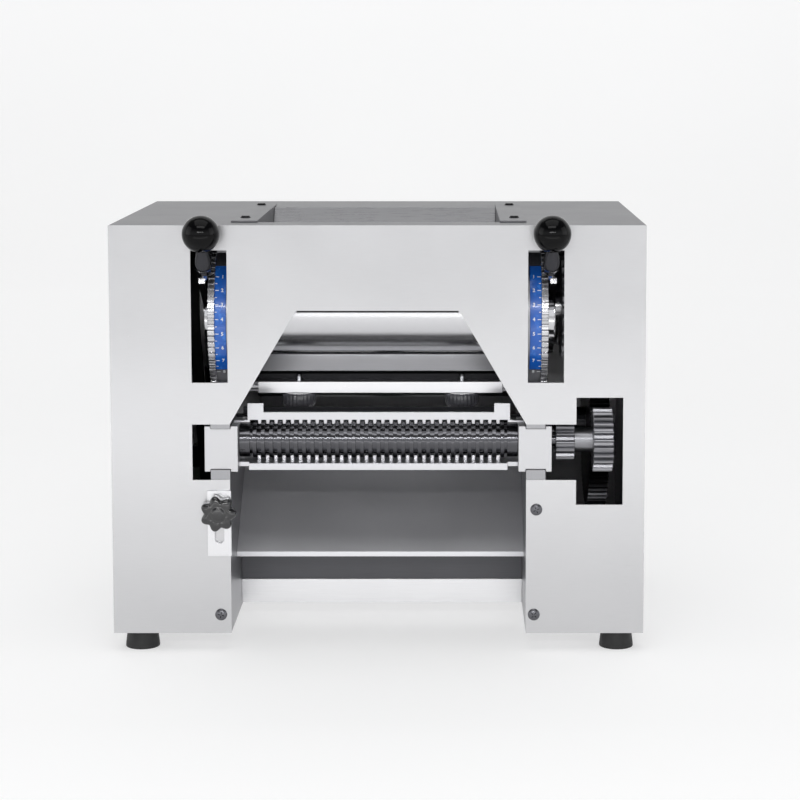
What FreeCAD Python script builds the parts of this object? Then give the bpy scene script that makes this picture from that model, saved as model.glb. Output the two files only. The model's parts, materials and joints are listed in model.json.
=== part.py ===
import FreeCAD, Part
import math
import os
import re
import Sketcher

from FreeCAD import Placement, Rotation, Vector

# Dough sheeter with a noodle cutter cassette, in millimetres.
# +X to the operator's right, +Y away from the operator, +Z up.
# The origin is on the bench, under the middle of the machine's bounding box.
# Heights ("up") are counted from the underside of the housing, depths ("back")
# from the front face of the front panel.

DRIVING = {
    # housing
    "width": 430, "height": 332, "depth": 300, "skin": 1.5, "foot_height": 16,
    "bed_half": 119.4, "frame_thick": 15.6, "frame_front": 1.5, "frame_back": 285,
    "frame_top": 318, "frame_bottom": 1.5,
    # openings of the front panel
    "slot_middle": 135, "slot_width": 29, "slot_low": 205.3, "slot_high": 312,
    "gate_top": 263.5, "gate_half": 65.5, "gate_base": 171.4,
    "notch_low": 126.1, "notch_reach": 149.6,
    "window_left": 159.7, "window_right": 197.3, "window_low": 105.9, "window_high": 193.2,
    # press rollers
    "press_radius": 38, "press_back": 80, "press_up": 258, "press_gap": 1, "press_open": 6,
    "journal_radius": 12, "bearing_radius": 17, "bush_wall": 2.5, "bush_play": 1,
    "bush_reach": 10, "side_gap": 0.4, "run_fit": 0.05, "lever_turn": 55,
    # levers, quadrants and scales
    "lever_thick": 5, "lever_gap": 1.0, "elbow_back": 9, "elbow_up": 289,
    "ball_back": -17, "ball_up": 326.4, "ball_radius": 15, "ball_middle": 139,
    "rod_radius": 4, "ferrule_radius": 5.5, "quadrant_radius": 70, "quadrant_wide": 5.7,
    "tooth_depth": 2.2, "quadrant_rebate": 3.2, "scale_thick": 0.8, "scale_wide": 9.3,
    # drive gears in the right-hand compartment
    "press_teeth": 22, "press_gear_left": 150, "press_gear_wide": 14,
    "train_module": 2, "roller_teeth": 40, "idler_teeth": 70, "cutter_teeth": 24,
    "train_left": 174, "train_wide": 16,
    # belt drive in the left-hand compartment
    "pulley_left": 150, "pulley_wide": 16, "wheel_radius": 62, "pinion_radius": 20,
    "belt_wide": 9, "belt_thick": 7, "belt_gap": 0.3, "motor_back": 206, "motor_up": 62,
    "motor_radius": 48, "motor_length": 170, "motor_shaft_radius": 7,
    # cutter cassette
    "cutter_back": 24, "cutter_radius": 14.7, "ring_relief": 1.9, "cutter_land": 13.9,
    "ring_pitch": 6.7, "ring_wide": 3, "ring_count": 31, "mesh_module": 2, "mesh_teeth": 14,
    "mesh_left": 144, "mesh_wide": 15, "cutter_journal": 6, "hub_radius": 10.3,
    "block_inner": 113.3, "block_outer": 140.1, "block_front": 3, "block_back": 70,
    "block_drop": 22.84, "block_rise": 14.26, "block_web": 1.8, "block_play": 0.3,
    "comb_half": 107, "comb_gap": 1.5, "comb_tall": 6.4, "comb_horn": 7.3, "comb_tooth": 3.3,
    "comb_thick": 2, "lower_comb_half": 104.5, "lower_comb_gap": 1.44,
    "lower_comb_tall": 5.6,
    # keeper and star knob
    "keeper_middle": 128.1, "keeper_wide": 19.4, "keeper_low": 64.3, "keeper_high": 117.7,
    "keeper_thick": 3, "keeper_slot": 7.4, "slot_foot": 74.9, "slot_head": 107.2,
    "star_up": 100.2, "star_radius": 15, "star_thick": 11, "star_stud": 14,
    # scrapers
    "scraper_half": 101.5, "scraper_front": 65, "scraper_deep": 12, "scraper_low": 187.4,
    "scraper_high": 196.5, "scraper_knob_x": 68, "scraper_knob_radius": 13.9,
    "scraper_knob_high": 14.5, "stud_radius": 2.5,
    # chute, guard and base tray
    "chute_front": 50, "chute_front_up": 56, "chute_back": 150, "chute_back_up": 128,
    "tray_front": 91.5, "tray_low": 2.7, "tray_flange": 23,
    # hopper in the top panel
    "hopper_half": 100, "hopper_flange": 20, "hopper_front": 32, "hopper_back": 216,
    "cheek_back": 235, "hopper_foot": 297.5,
    # feet and screws
    "foot_x": 194.5, "foot_back": 22, "foot_top_radius": 12.3, "foot_base_radius": 14,
    "screw_radius": 4.85, "screw_high": 2.4, "rear_reach": 2,
}

doc = FreeCAD.newDocument("DoughSheeter")
sheet = doc.addObject("Spreadsheet::Sheet", "Params")
for row, (alias, number) in enumerate(DRIVING.items(), start=1):
    sheet.set(f"A{row}", alias)
    sheet.set(f"B{row}", str(number))
    sheet.setAlias(f"B{row}", alias)
doc.recompute()

PARTS = []
SIDES = ((-1, "left"), (1, "right"))

# Places that several sub-parts share, written as expressions of the sheet's values.
FRONT = "(-(depth+rear_reach+ball_back-ball_radius)/2)"
FRAME_OUT = "(bed_half+frame_thick)"
REAR_BACK = "(press_back+2*press_radius+press_gap)"
TRAIN = "(train_module/2)"
CUTTER_UP = (f"(press_up-sqrt(pow({TRAIN}*(roller_teeth+idler_teeth);2)"
             f"-pow({REAR_BACK}-cutter_back-{TRAIN}*(cutter_teeth+idler_teeth);2)))")
IDLER_BACK = f"(cutter_back+{TRAIN}*(cutter_teeth+idler_teeth))"
MESH_GAP = "(mesh_module*mesh_teeth)"
CUTTER_CORE = f"({MESH_GAP}-cutter_radius-ring_relief)"
BLOCK_FOOT = f"({CUTTER_UP}-block_drop)"
BLOCK_TOP = f"({CUTTER_UP}+block_rise)"
COMB_LOW = f"({CUTTER_UP}+cutter_radius+comb_gap)"
COMB_TOP = f"({COMB_LOW}+comb_tall)"
LOWER_COMB_TOP = f"({CUTTER_UP}-cutter_radius-lower_comb_gap)"
LOWER_COMB_FOOT = f"({LOWER_COMB_TOP}-lower_comb_tall)"
PRESS_MODULE = "((2*press_radius+press_gap)/press_teeth)"
BUSH_BORE = "(bearing_radius+bush_play)"
THROW = "(press_open/2/sin(lever_turn/2*1deg))"
BUSH_RADIUS = f"({BUSH_BORE}+{THROW}+bush_wall)"
PIVOT_BACK = f"(press_back-{THROW}*sin(lever_turn/2*1deg))"
PIVOT_UP = f"(press_up-{THROW}*cos(lever_turn/2*1deg))"
LEVER_IN = f"({FRAME_OUT}-quadrant_rebate+quadrant_wide+lever_gap)"


def bound(text):
    """Return an expression with every alias pointed at the sheet."""
    return re.sub(r"[a-z][a-z_]+[a-z]", lambda m: "Params." + m.group() if m.group() in DRIVING
                  else m.group(), str(text))


def value(text):
    """Work an expression of the sheet's values out as a number."""
    return float(sheet.evalExpression(bound(text)))


def bind(thing, prop, text):
    """Tie one property of a document object to an expression."""
    thing.setExpression(prop, bound(text))


def put(thing, x, back, up):
    """Place a document object: x, depth behind the front face, height above the housing."""
    bind(thing, "Placement.Base.x", x)
    bind(thing, "Placement.Base.y", f"{FRONT}+({back})")
    bind(thing, "Placement.Base.z", f"foot_height+({up})")
    return thing


def block(name, across, back, up):
    """Box between three pairs of limits."""
    box = doc.addObject("Part::Box", name)
    for prop, (low, high) in (("Length", across), ("Width", back), ("Height", up)):
        bind(box, prop, f"({high})-({low})")
    return put(box, across[0], back[0], up[0])


AXES = {"x": Rotation(Vector(0, 1, 0), 90), "y": Rotation(Vector(1, 0, 0), -90), "z": Rotation()}


def rod(name, axis, start, radius, length, tip=None):
    """Cylinder, or a cone with a tip radius, that starts at a place and runs along +axis."""
    kind = "Part::Cylinder" if tip is None else "Part::Cone"
    pin = doc.addObject(kind, name)
    pin.Placement = Placement(Vector(), AXES[axis])
    bind(pin, "Radius" if tip is None else "Radius1", radius)
    if tip is not None:
        bind(pin, "Radius2", tip)
    bind(pin, "Height", length)
    return put(pin, *start)


def shaft(name, across, back, up, radius):
    """Cylinder along X between two limits."""
    return rod(name, "x", (across[0], back, up), radius, f"({across[1]})-({across[0]})")


def fuse(name, *pieces):
    """Union of document objects."""
    joined = doc.addObject("Part::MultiFuse", name)
    joined.Shapes = list(pieces)
    return joined


def group(name, *pieces):
    """Separate like pieces kept together as one sub-part."""
    kept = doc.addObject("Part::Compound", name)
    kept.Links = list(pieces)
    return kept


def cut(name, base, *tools):
    """Base with every tool taken away."""
    rest = doc.addObject("Part::Cut", name)
    rest.Base = base
    rest.Tool = tools[0] if len(tools) == 1 else fuse(name + "_tools", *tools)
    return rest


def part(label, thing):
    """Name a sub-part and keep it for the export."""
    thing.Label = label
    PARTS.append(thing)
    return thing


def side_span(side, inner, outer):
    """Limits in X of something |X| from inner to outer on one side."""
    return (inner, outer) if side > 0 else (f"-({outer})", f"-({inner})")


PLANES = {"front": "XZ_Plane", "side": "YZ_Plane", "top": "XY_Plane"}


def outline(body, name, plane, loops):
    """Sketch of closed polygons and circles, each size tied to its expression."""
    sketch = body.newObject("Sketcher::SketchObject", name)
    base = [face for face in body.Origin.OriginFeatures if face.Role == PLANES[plane]][0]
    sketch.AttachmentSupport = [(base, "")]
    sketch.MapMode = "FlatFace"
    for loop in loops:
        if loop[0] == "circle":
            add_circle(sketch, *loop[1:])
        else:
            add_polygon(sketch, loop)
    return sketch


def tie(sketch, kind, element, text):
    """Dimension from the sketch's origin to the start or centre of an element."""
    point = 3 if sketch.Geometry[element].TypeId == "Part::GeomCircle" else 1
    index = sketch.addConstraint(Sketcher.Constraint(kind, -1, 1, element, point, value(text)))
    sketch.setExpression(f"Constraints[{index}]", bound(text))


def add_polygon(sketch, corners):
    """Closed polygon whose corners are pairs of expressions."""
    spots = [Vector(value(x), value(y), 0) for x, y in corners]
    first = sketch.GeometryCount
    count = len(spots)
    for k in range(count):
        sketch.addGeometry(Part.LineSegment(spots[k], spots[(k + 1) % count]), False)
    for k in range(count):
        following = first + (k + 1) % count
        sketch.addConstraint(Sketcher.Constraint("Coincident", first + k, 2, following, 1))
    for k, (x, y) in enumerate(corners):
        tie(sketch, "DistanceX", first + k, x)
        tie(sketch, "DistanceY", first + k, y)


def add_circle(sketch, x, y, radius):
    """Circle with its centre and radius tied to expressions."""
    spot = Vector(value(x), value(y), 0)
    ring = sketch.addGeometry(Part.Circle(spot, Vector(0, 0, 1), value(radius)), False)
    tie(sketch, "DistanceX", ring, x)
    tie(sketch, "DistanceY", ring, y)
    index = sketch.addConstraint(Sketcher.Constraint("Radius", ring, value(radius)))
    sketch.setExpression(f"Constraints[{index}]", bound(radius))


def plate(name, plane, loops, thick, at):
    """Padded sketch. Side plates lie in Y-Z and grow to +X, front ones grow towards -Y."""
    body = doc.addObject("PartDesign::Body", name)
    sketch = outline(body, name + "_outline", plane, loops)
    doc.recompute()
    pad = body.newObject("PartDesign::Pad", name + "_pad")
    pad.Profile = sketch
    bind(pad, "Length", thick)
    body.Tip = pad
    return put(body, *at)


def rectangle(left, right, low, high):
    """Corners of an upright rectangle."""
    return [(left, low), (right, low), (right, high), (left, high)]


def own_shape(name, shape):
    """Object with a shape of its own, for forms that no feature makes."""
    thing = doc.addObject("Part::Feature", name)
    thing.Shape = shape
    return thing


def pair(label, maker):
    """Two like pieces, one on each side, kept as one sub-part."""
    return part(label, group(label + "_pair", *[maker(side, name) for side, name in SIDES]))


# ---------------------------------------------------------------- housing

def front_panel():
    """Bent front sheet: lever slots, dough gate, cutter notches, gear window and legs."""
    slot = ("slot_middle-slot_width/2", "slot_middle+slot_width/2")
    edge = [
        ("-width/2", "0"), ("-bed_half", "0"), ("-bed_half", "notch_low"),
        ("-notch_reach", "notch_low"), ("-notch_reach", "gate_base"), ("-bed_half", "gate_base"),
        ("-gate_half", "gate_top"), ("gate_half", "gate_top"), ("bed_half", "gate_base"),
        ("window_left", "gate_base"), ("window_left", "window_high"),
        ("window_right", "window_high"), ("window_right", "window_low"),
        ("window_left", "window_low"), ("window_left", "notch_low"), ("bed_half", "notch_low"),
        ("bed_half", "0"), ("width/2", "0"), ("width/2", "height"), ("-width/2", "height"),
    ]
    slots = [rectangle(*side_span(side, *slot), "slot_low", "slot_high") for side in (-1, 1)]
    studs = [("circle", "-keeper_middle", "star_up", "stud_radius+2*run_fit")]
    body = plate("FrontPanel", "front", [edge] + slots + studs, "skin", ("0", "skin", "0"))
    return part("front_panel", body)


def side_panel(side, label):
    """Outer wall of one gear compartment."""
    across = side_span(side, "width/2-skin", "width/2")
    wall = block(f"Side{label}", across, ("skin", "depth-skin"), ("0", "height-skin"))
    return wall


def top_panel():
    """Lid with the hopper's rectangular opening and the cheeks' screw holes."""
    reach = "hopper_half"
    edge = rectangle("-width/2", "width/2", "skin", "depth-skin")
    mouth = rectangle(f"-{reach}", reach, "hopper_front", "hopper_back")
    body = plate("TopPanel", "top", [edge, mouth], "skin", ("0", "0", "height-skin"))
    return part("top_panel", body)


def rear_panel():
    """Back sheet with vent slots, the inlet's hole and the switch's hole."""
    edge = rectangle("-width/2", "width/2", "0", "height")
    vents = []
    for column in (-1, 1):
        for row in range(6):
            low = f"70+{row}*12"
            vents.append(rectangle(f"{column}*50-35", f"{column}*50+35", low, f"{low}+4"))
    inlet = rectangle("-183", "-156", "40", "62")
    switch = rectangle("-183", "-156", "84", "104")
    body = plate("RearPanel", "front", [edge, inlet, switch] + vents, "skin", ("0", "depth", "0"))
    return part("rear_panel", body)


def bottom_plate(side, label):
    """Floor of one compartment, which carries two feet."""
    across = side_span(side, "bed_half", "width/2-skin")
    floor = block(f"Bottom{label}", across, ("skin", "depth-skin"), ("0", "frame_bottom"))
    return floor


def side_frame(side, label):
    """Thick plate: bearing bores, open cutter slot and a rounded nose behind the lever slot."""
    corners = [
        ("frame_front", "frame_bottom"), ("frame_back", "frame_bottom"),
        ("frame_back", "frame_top"), ("frame_front+38", "frame_top"),
        ("frame_front+38", "gate_base+30"), ("frame_front", "gate_base+14"),
        ("frame_front", f"{BLOCK_TOP}-block_web"),
        ("block_back+block_play", f"{BLOCK_TOP}-block_web"),
        ("block_back+block_play", f"{BLOCK_FOOT}+block_web"),
        ("frame_front", f"{BLOCK_FOOT}+block_web"),
    ]
    low, high = side_span(side, "bed_half", FRAME_OUT)
    slab = plate(f"Slab{label}", "side", [corners], "frame_thick", (low, "0", "0"))
    thin = side_span(side, "bed_half", f"{FRAME_OUT}-quadrant_rebate")
    nose = shaft(f"Nose{label}", thin, PIVOT_BACK, PIVOT_UP,
                 "quadrant_radius-tooth_depth-2*scale_thick")
    rest = fuse(f"Blank{label}", slab, nose)
    rebate = shaft(f"Rebate{label}", side_span(side, f"{FRAME_OUT}-quadrant_rebate",
                                               f"{FRAME_OUT}+1"),
                   PIVOT_BACK, PIVOT_UP, "quadrant_radius+2")
    over = side_span(side, "bed_half-1", f"{FRAME_OUT}+1")
    bush = shaft(f"BushBore{label}", over, PIVOT_BACK, PIVOT_UP, f"{BUSH_RADIUS}+run_fit")
    bearing = shaft(f"BearingBore{label}", over, REAR_BACK, "press_up", "bearing_radius")
    idler = shaft(f"IdlerBore{label}", over, IDLER_BACK, CUTTER_UP, "cutter_journal+2")
    motor = shaft(f"MotorBore{label}", over, "motor_back", "motor_up", "motor_shaft_radius+8")
    if side > 0:
        own = [idler]
    else:
        own = [motor, rod("StarThread", "y", ("-keeper_middle", "frame_front-1", "star_up"),
                          "stud_radius+run_fit", "star_stud-keeper_thick")]
    tools = [rebate, bush, bearing, *own]
    return part(f"side_frame_{label}", cut(f"Frame{label}", rest, *tools))


def tie_rods():
    """Three round bars that hold the side frames apart."""
    spots = (("frame_back-14", "frame_top-20"), ("frame_back-14", "frame_top/2"),
             ("chute_back+12", "chute_back_up-16"))
    bars = [shaft(f"TieRod{k}", ("-bed_half", "bed_half"), back, up, "6")
            for k, (back, up) in enumerate(spots)]
    return part("tie_rods", group("TieRods", *bars))


def base_tray():
    """Folded floor sheet between the side frames with a tall front flange."""
    floor = block("TrayFloor", ("-bed_half", "bed_half"), ("tray_front", "depth-skin"),
                  ("tray_low", "tray_low+skin"))
    lip = block("TrayLip", ("-bed_half", "bed_half"), ("tray_front", "tray_front+skin"),
                ("tray_low", "tray_flange"))
    return part("base_tray", fuse("BaseTray", floor, lip))


CHUTE_SLOPE = "((chute_back_up-chute_front_up)/(chute_back-chute_front))"


def chute():
    """Sloping sheet under the cutter with a turned hem at its front edge."""
    drop = "skin*1.25"
    corners = [
        ("chute_front", "chute_front_up-4"), ("chute_front+skin", "chute_front_up-4"),
        ("chute_front+skin", f"chute_front_up+{CHUTE_SLOPE}*skin-{drop}"),
        ("chute_back+skin", f"chute_back_up-{drop}"), ("chute_back+skin", "chute_back_up+20"),
        ("chute_back", "chute_back_up+20"), ("chute_back", "chute_back_up"),
        ("chute_front", "chute_front_up"),
    ]
    body = plate("Chute", "side", [corners], "2*bed_half", ("-bed_half", "0", "0"))
    return part("chute", body)


def motor_guard():
    """Upright sheet between the tray's flange and the underside of the chute."""
    top = f"chute_front_up+{CHUTE_SLOPE}*(tray_front+skin-chute_front)-3"
    wall = block("MotorGuard", ("-bed_half", "bed_half"), ("tray_front+skin", "tray_front+2*skin"),
                 ("tray_low+skin", top))
    return part("motor_guard", wall)


def hopper_cheek(side, label):
    """Side wall of the hopper with a flange screwed on the lid."""
    wall = block(f"CheekWall{label}", side_span(side, "hopper_half-skin", "hopper_half"),
                 ("hopper_front+skin", "hopper_back-skin"), ("hopper_foot", "height+skin"))
    flange = block(f"CheekFlange{label}",
                   side_span(side, "hopper_half-skin", "hopper_half+hopper_flange"),
                   ("hopper_front", "cheek_back"), ("height", "height+skin"))
    return fuse(f"Cheek{label}", wall, flange)


def hopper_wall(label, top_back, foot_back, forward):
    """Sloping end wall of the hopper that stops above its roller."""
    corners = [
        (top_back, "height"), (f"{top_back}+{forward}*skin", "height"),
        (f"{foot_back}+{forward}*skin", "hopper_foot"), (foot_back, "hopper_foot"),
    ]
    return plate(f"Hopper{label}", "side", [corners], "2*(hopper_half-skin)",
                 ("-(hopper_half-skin)", "0", "0"))


def crossed_head(name, x, back, up, radius="screw_radius", high="screw_high"):
    """Round head on the front face, domed by a bevel, with a cross recess in it."""
    head = rod(name + "Head", "y", (x, f"({back})-{high}", up), f"{radius}-1", f"{high}", radius)
    deep = (f"({back})-{high}-1", f"({back})-{high}+1.3")
    bars = [block(f"{name}Bar{k}", (f"{x}-{w}", f"{x}+{w}"), deep, (f"{up}-{t}", f"{up}+{t}"))
            for k, (w, t) in enumerate(((2.6, 0.55), (0.55, 2.6)))]
    return cut(name, head, *bars)


def panel_screws():
    """Three pan screws in the legs of the front panel."""
    spots = (("-127.7", "15.4"), ("126", "15.4"), ("127.7", "101.9"))
    heads = [crossed_head(f"PanelScrew{k}", x, "0", up) for k, (x, up) in enumerate(spots)]
    return part("panel_screws", group("PanelScrews", *heads))


def hopper_screws():
    """Four countersunk black screws in the cheeks' flanges."""
    heads = []
    for k, (side, back) in enumerate(((-1, 66), (1, 66), (-1, 223), (1, 223))):
        x = f"{side}*(hopper_half+hopper_flange*0.55)"
        start = (x, str(back), "height+skin")
        head = rod(f"HopperScrew{k}", "z", start, "4.4", "1.6", "3.2")
        slot = block(f"HopperSlot{k}", (f"{x}-3", f"{x}+3"), (f"{back}-0.6", f"{back}+0.6"),
                     ("height+skin+0.8", "height+skin+2"))
        heads.append(cut(f"HopperScrewCut{k}", head, slot))
    return part("hopper_screws", group("HopperScrews", *heads))


def feet():
    """Four rubber cones under the compartments, each with a recess for its screw."""
    cones = []
    for k, (side, back) in enumerate(((-1, "foot_back"), (1, "foot_back"),
                                      (-1, "depth-foot_back"), (1, "depth-foot_back"))):
        x = f"{side}*foot_x"
        cone = rod(f"Foot{k}", "z", (x, back, "-foot_height"), "foot_base_radius", "foot_height",
                   "foot_top_radius")
        well = rod(f"FootWell{k}", "z", (x, back, "-foot_height-1"), "6", "7")
        cones.append(cut(f"FootCut{k}", cone, well))
    return part("feet", group("Feet", *cones))


# ---------------------------------------------------------------- gears and belt

def involute(angle):
    """Involute function of an angle in radians."""
    return math.tan(angle) - angle


def gear_outline(module, teeth, tooth_at, backlash):
    """Corners of a spur gear in Y-Z, with one tooth centred on an angle in degrees."""
    pitch = module * teeth / 2
    tip = pitch + module
    foot = pitch - 1.25 * module
    base = pitch * math.cos(math.radians(20))
    half = math.pi / 2 / teeth - backlash / 2 / pitch + involute(math.radians(20))
    flank = []
    for radius in (foot, max(base, foot + 0.05), pitch, tip):
        pressure = math.acos(min(1, base / radius))
        flank.append((radius, half - involute(pressure)))
    corners = []
    for tooth in range(teeth):
        middle = math.radians(tooth_at) + 2 * math.pi * tooth / teeth
        for radius, spread in flank:
            corners.append((radius, middle - spread))
        for radius, spread in reversed(flank):
            corners.append((radius, middle + spread))
    return [Vector(0, radius * math.cos(turn), radius * math.sin(turn))
            for radius, turn in corners]


def gear(label, module, teeth, tooth_at, across, back, up, bore, hub=None, backlash=0.3):
    """Spur gear on an axis along X, with its bore and an optional hub to one side."""
    module, teeth = value(module), int(round(value(teeth)))
    low, high = value(across[0]), value(across[1])
    corners = gear_outline(module, teeth, tooth_at, backlash)
    wheel = Part.Face(Part.makePolygon(corners + corners[:1])).extrude(Vector(high - low, 0, 0))
    along = Vector(1, 0, 0)
    if hub:
        start, stop = value(hub[0]), value(hub[1])
        wheel = wheel.fuse(Part.makeCylinder(value(hub[2]), stop - start,
                                             Vector(start - low, 0, 0), along))
    span = wheel.BoundBox
    hole = Part.makeCylinder(value(bore), span.XLength + 2, Vector(span.XMin - 1, 0, 0), along)
    thing = part(label, own_shape(label, wheel.cut(hole).removeSplitter()))
    return put(thing, across[0], back, up)


def facing(tooth_at, teeth, towards, other_teeth):
    """Angle of a tooth on a second gear that meshes with the first in a given direction."""
    pitch = 360 / teeth
    share = ((towards - tooth_at) % pitch) / pitch
    return towards + 180 + (share + 0.5) * 360 / other_teeth


def press_axes():
    """Direction from the idler's axis to the rear roller's axis, in degrees."""
    rise = value("press_up") - value(CUTTER_UP)
    run = value(REAR_BACK) - value(IDLER_BACK)
    return math.degrees(math.atan2(rise, run))


def gear_train():
    """Gears of the right-hand compartment, in mesh with each other at rest."""
    train = ("train_left", "train_left+train_wide")
    press = ("press_gear_left", "press_gear_left+press_gear_wide")
    mesh = ("mesh_left", "mesh_left+mesh_wide")
    idler_teeth = int(value("idler_teeth"))
    gear("idler_gear", "train_module", "idler_teeth", 180, train, IDLER_BACK, CUTTER_UP,
         "cutter_journal+2*run_fit", ("train_left-12", "train_left", "12"))
    gear("cutter_drive_gear", "train_module", "cutter_teeth",
         facing(180, idler_teeth, 180, value("cutter_teeth")), train,
         "cutter_back", CUTTER_UP, "cutter_journal",
         ("mesh_left+mesh_wide", "train_left", "hub_radius"))
    gear("roller_drive_gear", "train_module", "roller_teeth",
         facing(180, idler_teeth, press_axes(), value("roller_teeth")), train,
         REAR_BACK, "press_up", "journal_radius",
         ("press_gear_left+press_gear_wide", "train_left", "journal_radius+6"))
    gear("rear_press_gear", PRESS_MODULE, "press_teeth", 180, press, REAR_BACK, "press_up",
         "journal_radius", backlash=0.6)
    gear("front_press_gear", PRESS_MODULE, "press_teeth",
         facing(180, value("press_teeth"), 180, value("press_teeth")), press,
         "press_back", "press_up", "journal_radius", backlash=0.6)
    gear("cutter_mesh_gear_front", "mesh_module", "mesh_teeth", 0, mesh, "cutter_back",
         CUTTER_UP, "cutter_journal")
    gear("cutter_mesh_gear_rear", "mesh_module", "mesh_teeth",
         facing(0, value("mesh_teeth"), 0, value("mesh_teeth")), mesh,
         f"cutter_back+{MESH_GAP}", CUTTER_UP, "cutter_journal")


def idler_stud():
    """Stud that carries the idler gear, with its head outside the gear."""
    pin = shaft("IdlerPin", ("bed_half", "train_left+train_wide+0.3"), IDLER_BACK, CUTTER_UP,
                "cutter_journal")
    root = shaft("IdlerRoot", ("bed_half", f"{FRAME_OUT}"), IDLER_BACK, CUTTER_UP,
                 "cutter_journal+2")
    shoulder = shaft("IdlerShoulder", (FRAME_OUT, "train_left-12.3"), IDLER_BACK, CUTTER_UP,
                     "cutter_journal+4")
    head = shaft("IdlerHead", ("train_left+train_wide+0.3", "train_left+train_wide+4"),
                 IDLER_BACK, CUTTER_UP, "cutter_journal+4")
    return part("idler_stud", fuse("IdlerStud", pin, root, shoulder, head))


def pulley(label, back, up, radius, bore):
    """Belt wheel with two rims, on a shaft along X."""
    low, high = "-(pulley_left+pulley_wide)", "-pulley_left"
    middle = "-(pulley_left+pulley_wide/2)"
    half = "(belt_wide/2+belt_gap)"
    disc = shaft(f"{label}_disc", (low, high), back, up, radius)
    rim = shaft(f"{label}_rim", (f"{middle}-{half}", f"{middle}+{half}"), back, up, f"{radius}+1")
    seat = shaft(f"{label}_seat", (f"{middle}-{half}-1", f"{middle}+{half}+1"), back, up,
                 f"{radius}-belt_thick")
    groove = cut(f"{label}_groove", rim, seat)
    hole = shaft(f"{label}_hole", (f"{low}-1", f"{high}+1"), back, up, bore)
    return part(label, cut(f"{label}_wheel", disc, groove, hole))


def loop_shape(big, small, far, turn, low, wide):
    """Solid inside a belt path round two circles: big at the origin, small at far."""
    lean = math.acos((big - small) / far)
    spots = []
    for sign in (1, -1):
        way = turn + sign * lean
        unit = Vector(0, math.cos(way), math.sin(way))
        spots.append((unit * big, unit * small + Vector(0, math.cos(turn), math.sin(turn)) * far))
    centre = Vector(0, math.cos(turn), math.sin(turn)) * far
    behind = Vector(0, -math.cos(turn), -math.sin(turn)) * big
    ahead = centre + Vector(0, math.cos(turn), math.sin(turn)) * small
    edges = [
        Part.Arc(spots[0][0], behind, spots[1][0]).toShape(),
        Part.LineSegment(spots[1][0], spots[1][1]).toShape(),
        Part.Arc(spots[1][1], ahead, spots[0][1]).toShape(),
        Part.LineSegment(spots[0][1], spots[0][0]).toShape(),
    ]
    shape = Part.Face(Part.Wire(edges)).extrude(Vector(wide, 0, 0))
    shape.translate(Vector(low, 0, 0))
    return shape


def drive_belt():
    """Closed belt round the motor pinion and the roller's pulley."""
    rise = value("motor_up") - value("press_up")
    run = value("motor_back") - value(REAR_BACK)
    far, turn = math.hypot(run, rise), math.atan2(rise, run)
    big = value("wheel_radius-belt_thick+belt_gap")
    small = value("pinion_radius-belt_thick+belt_gap")
    thick, wide = value("belt_thick"), value("belt_wide")
    outer = loop_shape(big + thick, small + thick, far, turn, 0, wide)
    inner = loop_shape(big, small, far, turn, -1, wide + 2)
    belt = part("drive_belt", own_shape("Belt", outer.cut(inner)))
    return put(belt, "-(pulley_left+pulley_wide/2+belt_wide/2)", REAR_BACK, "press_up")


# ---------------------------------------------------------------- motor

def motor():
    """Motor with ribbed casing, end shields and a foot block on the base tray."""
    left, right = "-motor_length/2-10", "motor_length/2-10"
    core = shaft("MotorCore", (left, right), "motor_back", "motor_up", "motor_radius-3")
    shields = [shaft(f"MotorShield{k}", limits, "motor_back", "motor_up", "motor_radius")
               for k, limits in enumerate(((left, f"{left}+18"), (f"{right}-18", right)))]
    ribs = [shaft(f"MotorRib{k}", (f"{left}+26+{k}*12", f"{left}+29+{k}*12"), "motor_back",
                  "motor_up", "motor_radius-1") for k in range(11)]
    foot = block("MotorFoot", (f"{left}+20", f"{right}-20"), ("motor_back-30", "motor_back+30"),
                 ("tray_low+skin", "motor_up-motor_radius+14"))
    bore = shaft("MotorBoreCut", (f"{left}-1", f"{left}+30"), "motor_back", "motor_up",
                 "motor_shaft_radius+run_fit")
    whole = fuse("MotorBody", core, foot, *shields, *ribs)
    return part("motor", cut("Motor", whole, bore))


def motor_shaft():
    """Shaft from the motor to the pinion, through the left side frame."""
    bar = shaft("MotorShaft", ("-(pulley_left+pulley_wide)", "-motor_length/2+15"), "motor_back",
                "motor_up", "motor_shaft_radius")
    return part("motor_shaft", bar)


# ---------------------------------------------------------------- press rollers

def press_roller(label, back, left_end, right_end):
    """Chromed roller with a journal at each end."""
    barrel = shaft(f"{label}_barrel", ("-(bed_half-side_gap)", "bed_half-side_gap"), back,
                   "press_up", "press_radius")
    journal = shaft(f"{label}_journal", (f"-({left_end})", right_end), back, "press_up",
                    "journal_radius")
    return part(label, fuse(f"{label}_whole", barrel, journal))


def bearings(label, back, outer):
    """Pair of plain bearing rings, one in each side frame."""
    rings = []
    for side in (-1, 1):
        limits = side_span(side, "bed_half", FRAME_OUT)
        over = side_span(side, "bed_half-1", f"{FRAME_OUT}+1")
        ring = shaft(f"{label}_ring{side + 1}", limits, back, "press_up", outer)
        hole = shaft(f"{label}_hole{side + 1}", over, back, "press_up", "journal_radius+run_fit")
        rings.append(cut(f"{label}_bush{side + 1}", ring, hole))
    return part(label, group(f"{label}_pair", *rings))


def eccentric_bush(side, label):
    """Bush that turns in the side frame and carries the roller's bearing off its centre."""
    limits = side_span(side, "bed_half", f"{FRAME_OUT}+bush_reach")
    over = side_span(side, "bed_half-1", f"{FRAME_OUT}+bush_reach+1")
    body = shaft(f"BushBody{label}", limits, PIVOT_BACK, PIVOT_UP, BUSH_RADIUS)
    bore = shaft(f"BushHole{label}", over, "press_back", "press_up", BUSH_BORE)
    return part(f"eccentric_bush_{label}", cut(f"Bush{label}", body, bore))


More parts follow.
